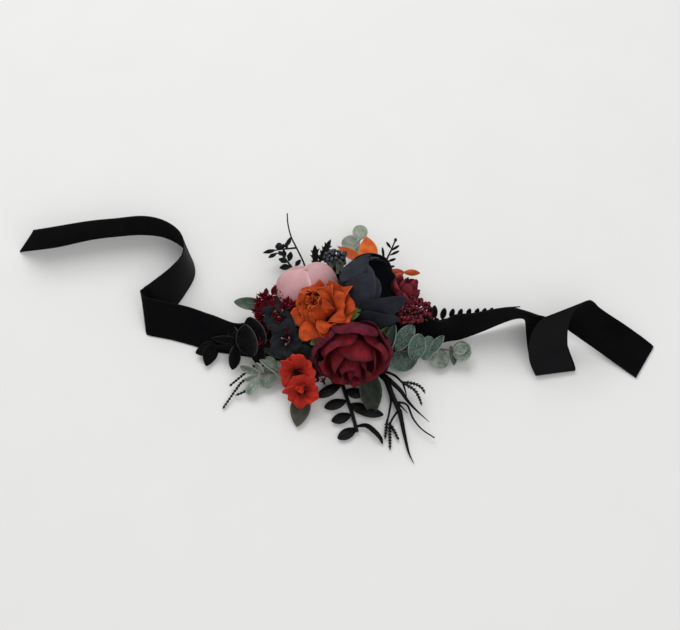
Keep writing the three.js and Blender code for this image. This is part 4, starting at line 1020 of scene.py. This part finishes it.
def bud_sprig(material):
    shape = stems(
        TWIG_WIRE,
        [(-220, 500, 100), (-287, 688, 170), (-353, 819, 220), (-400, 920, 235),
         (-429, 1045, 240), (-437, 1151, 240)],
        [(-355, 819, 220), (-426, 815, 210), (-493, 820, 190), (-559, 815, 175)],
        [(-382, 653, 150), (-441, 730, 170), (-485, 785, 170), (-530, 799, 165)],
    )
    stalk(shape, place((-471, 817, 195)), place((-500, 852, 200)))
    for bud in ((-503, 856, 200), (-491, 840, 205), (-513, 846, 195)):
        bead(shape, place(bud), 1.7, (-0.3, 0.9, 0.3), lumps=0.2, shade=0.3)
    leaves(shape, [
        ((-402, 913, 235), (-439, 835, 215), 2.6),
        ((-530, 820, 180), (-641, 801, 165), 2.4),
        ((-434, 815, 205), (-448, 873, 215), 2.2),
        ((-417, 717, 170), (-401, 801, 185), 3.6),
        ((-426, 712, 165), (-507, 746, 155), 3.4),
        ((-400, 672, 155), (-499, 668, 140), 3.8),
        ((-317, 724, 180), (-364, 670, 165), 2.8),
        ((-522, 796, 165), (-595, 759, 155), 2.4),
        ((-456, 744, 168), (-464, 823, 185), 3),
        ((-474, 773, 168), (-508, 812, 175), 2.6),
        ((-485, 820, 190), (-460, 869, 200), 2.4),
    ], facing=(0, -0.4, 1), fullness=0.75, skew=0.9, cup=0.3, wave=0.25)
    finished_spray(shape, "bud_sprig_back_left", "black_leaf", material)


def back_right_sprig(material):
    shape = stems(FINE_LEAF_WIRE, [(340, 460, 100), (400, 660, 220), (450, 770, 260), (485, 850, 285)])
    leaves(shape, [
        ((390, 700, 235), (375, 790, 280)), ((450, 770, 255), (520, 810, 275)),
        ((440, 730, 245), (520, 765, 260)), ((420, 680, 225), (490, 700, 240)),
        ((400, 630, 205), (480, 640, 220)), ((450, 790, 260), (410, 840, 280)),
    ], 1.7, (0, -0.4, 1), fullness=0.5, skew=1.2)
    bead(shape, place((487, 855, 287)), 1.0, (0.3, 0.9, 0.3), stretch=1.4, lumps=0.1, shade=0.3)
    finished_spray(shape, "black_sprig_back_right", "black_leaf", material)


# Middles of the bunches of pips
PIP_CLUSTERS_LEFT = [
    (-616, 330, 240), (-556, 295, 270), (-494, 235, 320), (-435, 182, 340), (-385, 135, 340),
    (-657, 284, 220), (-596, 244, 260), (-669, 214, 210), (-650, 148, 210), (-669, 83, 210),
    (-643, 32, 200), (-536, 213, 300), (-335, 99, 330), (-621, 189, 240), (-476, 168, 330),
    (-494, 316, 360), (-442, 252, 400), (-403, 189, 430), (-366, 142, 440), (-670, -29, 210),
    (-619, -89, 220),
]
PIP_SPRIGS_LEFT = [
    (-514, 91, 370), (-480, 40, 370), (-447, -5, 360), (-398, -46, 350),
    (-180, -287, 120), (-147, -318, 110), (-114, -372, 90), (-171, -363, 90),
]
PIP_CLUSTERS_RIGHT = [
    (550, 270, 260), (620, 280, 270), (680, 270, 260), (740, 240, 250), (780, 210, 220),
    (760, 170, 200), (700, 180, 230), (640, 200, 250), (590, 220, 260), (550, 180, 180),
    (610, 160, 200), (670, 150, 190), (720, 140, 170),
    (511, 209, 220), (496, 174, 170), (449, 145, 180),
    (537, 108, 250), (602, 102, 270), (668, 102, 280), (738, 120, 280),
]

# Pips in a bunch, their radii, and the berries in theirs with the half widths of the bunch
LEFT_PIPS = 17
LEFT_PIP_RADIUS = 0.95
SPRIG_PIPS = 6
SPRIG_PIP_RADIUS = 0.75
RIGHT_PIPS = 9
RIGHT_PIP_RADIUS = 1.2
BERRIES = 36
BERRY_BUNCH = (7, 5, 3.6)


def scattered_ways(count):
    """Directions spread evenly over a sphere."""
    golden = math.pi * (3 - math.sqrt(5))
    for k in range(count):
        height = 1 - 2 * (k + 0.5) / count
        flat = math.sqrt(1 - height * height)
        yield np.array([math.cos(golden * k) * flat, math.sin(golden * k) * flat, height])


def left_pips(material):
    """Dense pointed buds on wires, and a few sparse sprigs of them."""
    start = (-380, 240, 120)
    shape = stems(PIP_WIRE, [start, (-500, 280, 180)], [start, (-470, 180, 150), (-560, 120, 170)])
    pointed = {"sides": 5, "levels": 5, "point": 0.6}
    for cluster in PIP_CLUSTERS_LEFT:
        centre = place(cluster)
        stalk(shape, place((-500, 240, 170)), centre)
        for way in scattered_ways(LEFT_PIPS):
            lean = unit(way + draws.uniform(-0.3, 0.3, 3) + (-0.2, 0.1, 0.4))
            bead(shape, centre + lean * draws.uniform(0.8, 3.2), LEFT_PIP_RADIUS, lean, stretch=2.1,
                 shade=draws.uniform(0, 1), **pointed)
    for sprig in PIP_SPRIGS_LEFT:
        centre = place(sprig)
        stalk(shape, (centre + root_below(centre)) / 2, centre, FINE_STALK_RADIUS)
        for way in scattered_ways(SPRIG_PIPS):
            lean = unit(way + draws.uniform(-0.4, 0.4, 3) + (0, 0, 0.4))
            bead(shape, centre + lean * 1.5, SPRIG_PIP_RADIUS, lean, stretch=1.6,
                 shade=draws.uniform(0, 0.6), **pointed)
    leaves(shape, [
        ((-600, 360, 210), (-600, 420, 235)), ((-550, 360, 220), (-530, 430, 250)),
    ], 3, (0, -0.4, 1), fullness=0.8, shade=0.0)
    finished_spray(shape, "burgundy_pips_left", "pip_red", material)


def right_pips(material):
    """Crinkled round pips in small bunches."""
    fork = (550, 210, 140)
    shape = stems(PIP_WIRE, [(450, 200, 110), fork])
    for cluster in PIP_CLUSTERS_RIGHT:
        centre = place(cluster)
        stalk(shape, place(fork), centre)
        for way in scattered_ways(RIGHT_PIPS):
            lean = unit(way + draws.uniform(-0.3, 0.3, 3))
            bead(shape, centre + lean * 2.0, RIGHT_PIP_RADIUS, lean, sides=8, lumps=0.25,
                 shade=draws.uniform(0, 1))
    finished_spray(shape, "burgundy_pips_right", "pip_red", material)


def berries(material):
    """Bunch of berries, each on its own stalk."""
    fork = (-20, 580, 170)
    shape = stems(PIP_WIRE, [(-20, 460, 100), fork])
    middle = place((-20, 680, 290))
    for way in scattered_ways(BERRIES):
        centre = middle + way * BERRY_BUNCH * draws.uniform(0.75, 1.1)
        stalk(shape, place(fork), centre, FINE_STALK_RADIUS)
        bead(shape, centre, draws.uniform(1.2, 1.7), way, sides=8, levels=5, shade=draws.uniform(0, 1))
    finished_spray(shape, "black_berries", "berry_black", material)


# Materials


def paint(colour):
    """Colour from its red, green and blue on screen, 0 to 255."""
    shares = [value / 255 for value in colour]
    return [*(s / 12.92 if s <= 0.04045 else ((s + 0.055) / 1.055) ** 2.4 for s in shares), 1.0]


class Finish:
    """A node material under construction, with colours as on screen, 0 to 255."""

    def __init__(self, name, roughness, sheen=0.0, sheen_tint=None, specular=0.5):
        self.material = bpy.data.materials.new(name)
        self.material.use_nodes = True
        self.tree = self.material.node_tree
        self.surface = self.tree.nodes["Principled BSDF"]
        self.set("Roughness", roughness)
        self.set("Sheen Weight", sheen)
        self.set("Specular IOR Level", specular)
        if sheen_tint:
            self.set("Sheen Tint", paint(sheen_tint))
        self.place = self.node("TexCoord").outputs["Object"]

    def set(self, name, value):
        self.surface.inputs[name].default_value = value

    def connect(self, value, socket):
        """Links a node's output to a socket, or sets a number or a colour on it."""
        if isinstance(value, bpy.types.NodeSocket):
            self.tree.links.new(value, socket)
        else:
            socket.default_value = paint(value) if isinstance(value, tuple) else value

    def node(self, kind, *values):
        """New node, with these values in its first sockets."""
        made = self.tree.nodes.new(f"ShaderNode{kind}")
        for socket, value in zip(made.inputs, values):
            self.connect(value, socket)
        return made

    def value(self, label):
        node = self.node("Attribute")
        node.attribute_name = label
        return node.outputs["Fac"]

    def maths(self, operation, first, second=0.0):
        node = self.node("Math", first, second)
        node.operation = operation
        return node.outputs[0]

    def share(self, value, low, high, to_low=0.0, to_high=1.0):
        """Maps low..high to to_low..to_high, clamped."""
        return self.node("MapRange", value, low, high, to_low, to_high).outputs[0]

    def blend(self, share, first, second, mode="MIX"):
        node = self.node("Mix")
        node.data_type = "RGBA"
        node.blend_type = mode
        self.connect(share, node.inputs["Factor"])
        self.connect(first, node.inputs[6])
        self.connect(second, node.inputs[7])
        return node.outputs[2]

    def noise(self, vector, scale, detail=2.0):
        node = self.node("TexNoise")
        node.inputs["Scale"].default_value = scale
        node.inputs["Detail"].default_value = detail
        self.connect(vector, node.inputs["Vector"])
        return node.outputs["Fac"]

    def grain(self, size, detail=2.0):
        """Noise whose features are about that many millimetres across."""
        return self.noise(self.place, 1 / (size * MM), detail)

    def patches(self, size, detail, *limits):
        """Grain drawn apart between limits, as in share."""
        return self.share(self.grain(size, detail), *limits)

    def streaks(self, count, stretch):
        """Noise drawn out along a petal or leaf, like veins."""
        scales = (("across", count), ("along", stretch), ("shade", 37))
        parts = [self.maths("MULTIPLY", self.value(label), scale) for label, scale in scales]
        return self.noise(self.node("CombineXYZ", *parts).outputs[0], 1.0)

    def rim(self, start):
        """1 at a petal's or leaf's edge, 0 inside that share of its half width."""
        side = self.share(self.maths("ABSOLUTE", self.value("across")), start, 1.0)
        end = self.share(self.value("along"), 1 - (1 - start) / 2, 1.0)
        return self.maths("MAXIMUM", side, end)

    def colour(self, value, tone=None):
        """Base colour, which a tone makes darker or lighter."""
        if tone:
            grey = self.node("CombineColor", tone, tone, tone).outputs[0]
            value = self.blend(1.0, value, grey, "MULTIPLY")
        self.connect(value, self.surface.inputs["Base Color"])

    def relief(self, *layers):
        """Bump from (height, depth in millimetres) layers."""
        last = None
        for height, depth in layers:
            node = self.node("Bump")
            node.inputs["Distance"].default_value = depth * MM
            self.connect(height, node.inputs["Height"])
            if last:
                self.connect(last, node.inputs["Normal"])
            last = node.outputs["Normal"]
        self.connect(last, self.surface.inputs["Normal"])


def petal_finish(name, face, deep, edge, sheen=0.15, weave=0.12, weave_depth=0.03, vein=0.12,
                 fold=0.03, edge_start=0.82, mottle=0.25):
    """Cloth or paper petal: darker towards its base as painted shade deep in the flower, with veins,
    mottling and another tone at its edge.
    """
    finish = Finish(name, 0.85, sheen=sheen, sheen_tint=face, specular=0.25)
    # The deep colour at each petal's base is painted shade deep inside the flower.
    body = finish.blend(finish.share(finish.value("along"), 0.25, 0.85), deep, face)
    body = finish.blend(finish.maths("MULTIPLY", finish.rim(edge_start), 0.75), body, edge)
    veins = finish.share(finish.streaks(9, 1.5), 0.35, 0.65, 1 - vein, 1.0)
    tone = finish.maths("MULTIPLY", veins, finish.share(finish.value("shade"), 0, 1, 0.86, 1.1))
    patches = finish.patches(6, 2, 0.3, 0.7, 1 - mottle, 1 + mottle / 3)
    finish.colour(body, finish.maths("MULTIPLY", tone, patches))
    finish.relief((finish.grain(weave, 3), weave_depth), (finish.streaks(8, 1.2), fold),
                  (finish.grain(2.2), fold))
    return finish.material


def leaf_finish(name, face, deep, edge, stem_colour, roughness=0.6, sheen=0.05, rib=0.5, speckle=0.3,
                edge_start=0.8, specular=0.35):
    """Leaf with a midrib, side veins, a paler edge and a waxy bloom."""
    finish = Finish(name, roughness, sheen=sheen, specular=specular)
    across = finish.maths("ABSOLUTE", finish.value("across"))
    body = finish.blend(finish.patches(4, 3, 0.35, 0.65), deep, face)
    body = finish.blend(finish.maths("MULTIPLY", finish.share(across, 0.1, 0.0), rib), body, edge)
    body = finish.blend(finish.maths("MULTIPLY", finish.rim(edge_start), 0.7), body, edge)
    body = finish.blend(finish.patches(0.8, 4, 0.5, 0.62, 0, speckle), body, edge)
    body = finish.blend(finish.value("stem"), body, stem_colour)
    finish.colour(body, finish.share(finish.value("shade"), 0, 1, 0.8, 1.12))
    slanted = finish.maths("MULTIPLY", across, -22)
    ribs = finish.maths("ADD", finish.maths("MULTIPLY", finish.value("along"), 60), slanted)
    side_veins = finish.share(finish.maths("SINE", ribs), 0.6, 1.0)
    midrib = finish.share(across, 0.12, 0.0)
    finish.relief((midrib, 0.3 if rib else 0.0), (side_veins, 0.08), (finish.grain(0.5, 3), 0.04))
    return finish.material


SATIN_THREADS = 5200  # turns of the sine along the ribbon, in radians


def velvet_finishes():
    """Pile that swallows light, and the smooth woven back."""
    pile = Finish("velvet_pile", 1.0, sheen=0.04, sheen_tint=(60, 60, 72), specular=0.1)
    edge = pile.share(pile.maths("ABSOLUTE", pile.value("across")), 0.94, 0.98)
    body = pile.blend(pile.patches(14, 2, 0.3, 0.7), (5, 5, 7), (10, 10, 12))
    pile.colour(pile.blend(pile.maths("MULTIPLY", edge, 0.6), body, (22, 22, 26)))
    pile.relief((pile.grain(0.25, 4), 0.12), (pile.grain(1.1, 3), 0.1))
    satin = Finish("velvet_back", 0.6, sheen=0.03, sheen_tint=(60, 60, 70), specular=0.12)
    threads = satin.maths("SINE", satin.maths("MULTIPLY", satin.value("along"), SATIN_THREADS))
    satin.colour(satin.blend(satin.share(threads, -1, 1), (7, 7, 9), (13, 13, 17)))
    satin.relief((threads, 0.03), (satin.grain(0.4, 3), 0.04))
    return pile.material, satin.material


def felt_finish():
    felt = Finish("felt_wool", 1.0, sheen=0.4, sheen_tint=(70, 70, 78), specular=0.1)
    felt.colour(felt.blend(felt.patches(0.7, 4, 0.35, 0.65), (16, 16, 18), (34, 34, 38)))
    felt.relief((felt.grain(0.3, 5), 0.25), (felt.grain(2.5, 3), 0.2))
    return felt.material


def glue_finish():
    glue = Finish("hot_glue_dark", 0.28, specular=0.4)
    glue.colour(glue.blend(glue.patches(3, 3, 0.3, 0.7), (58, 55, 50), (84, 80, 72)))
    glue.set("Subsurface Weight", 0.4)
    glue.set("Subsurface Scale", 0.003)
    glue.relief((glue.grain(2.5, 2), 0.3))
    return glue.material


def bead_finish(name, face, deep, highlight, roughness, highlight_share, specular=0.5):
    """Small pips or berries with crinkles, darker towards the inner end of each, and pale flecks of painted
    highlight in random patches.
    """
    finish = Finish(name, roughness, specular=specular)
    body = finish.blend(finish.share(finish.value("along"), 0.1, 0.9), deep, face)
    # Pale flecks in random patches are painted highlights.
    body = finish.blend(finish.patches(0.7, 3, 0.58, 0.66, 0, highlight_share), body, highlight)
    finish.colour(body, finish.share(finish.value("shade"), 0, 1, 0.7, 1.15))
    finish.relief((finish.grain(0.6, 4), 0.3))
    return finish.material


def thread_finish(name, deep, tip, fleck):
    finish = Finish(name, 0.6, specular=0.4)
    body = finish.blend(finish.share(finish.value("along"), 0.2, 0.9), deep, tip)
    finish.colour(finish.blend(finish.patches(0.6, 3, 0.4, 0.7), body, fleck))
    finish.relief((finish.grain(0.4, 3), 0.1))
    return finish.material


def dress_flowers(green):
    """Every flower with its petals' finish."""
    folded = {"fold": 0.08, "vein": 0.22, "mottle": 0.4}
    burgundy = petal_finish("burgundy_cloth", (142, 27, 41), (48, 8, 18), (56, 17, 34), edge_start=0.78,
                            **folded)
    dark_burgundy = petal_finish("burgundy_outer", (122, 26, 42), (44, 8, 20), (64, 24, 44),
                                 edge_start=0.62, **folded)
    burgundy_rose(burgundy, dark_burgundy, green)
    orange_rose(petal_finish("orange_paper", (206, 78, 26), (92, 24, 8), (224, 106, 48), sheen=0.05,
                             weave=0.35, weave_depth=0.08, vein=0.2, fold=0.1, mottle=0.42,
                             edge_start=0.9), green)
    charcoal = petal_finish("charcoal_cloth", (42, 45, 55), (19, 20, 26), (54, 56, 64), vein=0.14,
                            weave=0.3, weave_depth=0.06, mottle=0.35, edge_start=0.9)
    # A darker copy of the charcoal cloth for one face of most peony petals: painted shade inside the flower.
    shadow = petal_finish("charcoal_inside_painted_shade", (17, 20, 29), (8, 9, 14), (30, 32, 40), vein=0.1)
    black_peony(charcoal, shadow, green)
    pink_bud(petal_finish("pink_cloth", (215, 170, 173), (178, 124, 131), (236, 202, 202), vein=0.05,
                          mottle=0.06, edge_start=0.93), green)
    small_rose(petal_finish("burgundy_small", (140, 42, 54), (62, 20, 28), (70, 32, 46), vein=0.2,
                            fold=0.08, mottle=0.3, edge_start=0.84), green)
    red = petal_finish("red_cloth", (196, 42, 26), (104, 14, 12), (210, 66, 40), vein=0.2, fold=0.08,
                       mottle=0.35)
    black = petal_finish("black_cloth", (30, 34, 40), (7, 7, 10), (44, 49, 55), vein=0.25, fold=0.08,
                         mottle=0.5)
    anther = thread_finish("stamens_rosy", (48, 20, 26), (140, 76, 74), (178, 126, 118))
    dark_anther = thread_finish("stamens_dark", (30, 8, 10), (50, 14, 14), (62, 24, 20))
    for name, *form in BLOSSOMS:
        if name.startswith("red"):
            blossom(name, *form, red, dark_anther, "red_blossom")
        else:
            blossom(name, *form, black, anther, "charcoal_petal")


def dress_foliage():
    """Every spray with its finish."""
    eucalyptus = leaf_finish("eucalyptus_wax", (76, 96, 88), (43, 61, 59), (142, 160, 145),
                             (104, 82, 70), edge_start=0.88, speckle=0.4, rib=0.2)
    frosted = leaf_finish("eucalyptus_frosted", (140, 152, 139), (88, 105, 98), (176, 180, 158),
                          (110, 88, 74), edge_start=0.88, speckle=0.5, rib=0.1)
    sage = leaf_finish("sage_wax", (166, 176, 160), (134, 146, 132), (190, 198, 184), (96, 100, 84))
    deep_green = leaf_finish("deep_green_leaf", (90, 106, 91), (58, 73, 60), (108, 124, 108),
                             (40, 48, 40), speckle=0.05, rib=0.3)
    dark_green = leaf_finish("dark_green_leaf", (44, 53, 42), (24, 31, 25), (72, 82, 66), (30, 36, 30),
                             speckle=0.03, rib=0.3)
    olive = leaf_finish("olive_leaf", (74, 72, 60), (54, 54, 46), (92, 90, 76), (44, 44, 38),
                        speckle=0.05, rib=0.3)
    orange_leaf = leaf_finish("orange_leaf", (230, 110, 26), (204, 76, 14), (238, 138, 50),
                              (150, 74, 30), speckle=0.1, rib=0.4)
    rust = leaf_finish("rust_leaf", (206, 86, 24), (162, 56, 16), (222, 116, 44), (120, 60, 30),
                       speckle=0.1)
    # The pale edge colour of the velvet leaves is a painted highlight along their rims.
    velvet_leaf = leaf_finish("velvet_leaf", (12, 12, 13), (5, 5, 6), (78, 78, 80), (14, 13, 13),
                              roughness=0.95, rib=0.0, speckle=0.08, edge_start=0.95, specular=0.04)
    plastic = leaf_finish("moulded_black", (11, 11, 12), (6, 6, 7), (24, 24, 26), (8, 8, 9),
                          roughness=0.34, sheen=0.0, rib=0.4, speckle=0.0, specular=0.13)
    matt_black = leaf_finish("matt_black", (24, 25, 26), (14, 15, 16), (42, 44, 44), (26, 42, 40),
                             roughness=0.7, sheen=0.0, speckle=0.1, specular=0.15)
    front_fern(plastic)
    right_needles(plastic)
    left_needles(plastic)
    left_eucalyptus(frosted)
    right_eucalyptus(eucalyptus, frosted)
    velvet_leaves(velvet_leaf)
    single_leaves(deep_green, dark_green, olive)
    right_fern(matt_black)
    back_eucalyptus(sage, deep_green)
    orange_leaves(orange_leaf)
    rust_leaves(rust)
    holly_leaves(plastic)
    bud_sprig(matt_black)
    back_right_sprig(matt_black)
    left_pips(bead_finish("pip_cloth", (112, 13, 30), (30, 3, 9), (136, 40, 54), 0.8, 0.1, 0.12))
    right_pips(bead_finish("pip_crinkled", (118, 15, 34), (38, 5, 13), (200, 150, 150), 0.6, 0.25, 0.3))
    berries(bead_finish("berry_skin", (50, 54, 68), (20, 22, 28), (98, 102, 116), 0.38, 0.3))


def dress():
    """Every sub-part with its finish."""
    felt = felt_finish()
    felt_oval("felt_backing_cloth", "felt_backing", 0.0, felt)
    felt_oval("felt_pad_cloth", "felt_pad", PAD_LEVEL, felt)
    ribbon_piece(*velvet_finishes())
    glue_piece(glue_finish())
    dress_flowers(leaf_finish("sepal_paper", (122, 140, 62), (74, 92, 42), (158, 170, 88),
                              (70, 84, 46), roughness=0.75))
    dress_foliage()


# Stage: camera, floor and light


def camera():
    data = bpy.data.cameras.new("camera")
    data.sensor_width = SENSOR_WIDTH
    data.lens = FOCAL_PIXELS / PHOTO_WIDTH_PIXELS * SENSOR_WIDTH
    data.clip_start = 0.01
    data.clip_end = 20
    made = linked("camera", data)
    tilt = math.radians(CAMERA_ELEVATION)
    back = Vector((0, -math.cos(tilt), math.sin(tilt)))
    made.location = (Vector(CAMERA_TARGET) + back * CAMERA_DISTANCE) * MM
    made.rotation_mode = "QUATERNION"
    made.rotation_quaternion = (-back).to_track_quat("-Z", "Y")
    bpy.context.scene.camera = made


def lamp(name, place_metres, size, watts):
    """Soft square lamp that looks at the object."""
    data = bpy.data.lights.new(name, "AREA")
    data.size = size
    data.energy = watts
    made = linked(name, data)
    made.location = place_metres
    made.rotation_mode = "QUATERNION"
    made.rotation_quaternion = Vector(place_metres).to_track_quat("Z", "Y")


def floor():
    mesh = bpy.data.meshes.new("table")
    corners = [(x * FLOOR_REACH, y * FLOOR_REACH, 0) for x, y in ((-1, -1), (1, -1), (1, 1), (-1, 1))]
    mesh.from_pydata(corners, [], [(0, 1, 2, 3)])
    made = linked("table", mesh)
    table = Finish("pale_table", 0.7, specular=0.2)
    table.colour(table.blend(table.grain(40), (236, 236, 235), (240, 240, 239)))
    mesh.materials.append(table.material)


def world():
    made = bpy.data.worlds.new("studio")
    made.use_nodes = True
    background = made.node_tree.nodes["Background"]
    background.inputs["Color"].default_value = (1, 1, 1, 1)
    background.inputs["Strength"].default_value = WORLD_STRENGTH
    bpy.context.scene.world = made


camera()
floor()
world()
for lamp_facts in LAMPS:
    lamp(*lamp_facts)
bpy.context.scene.view_settings.view_transform = "Standard"
dress()
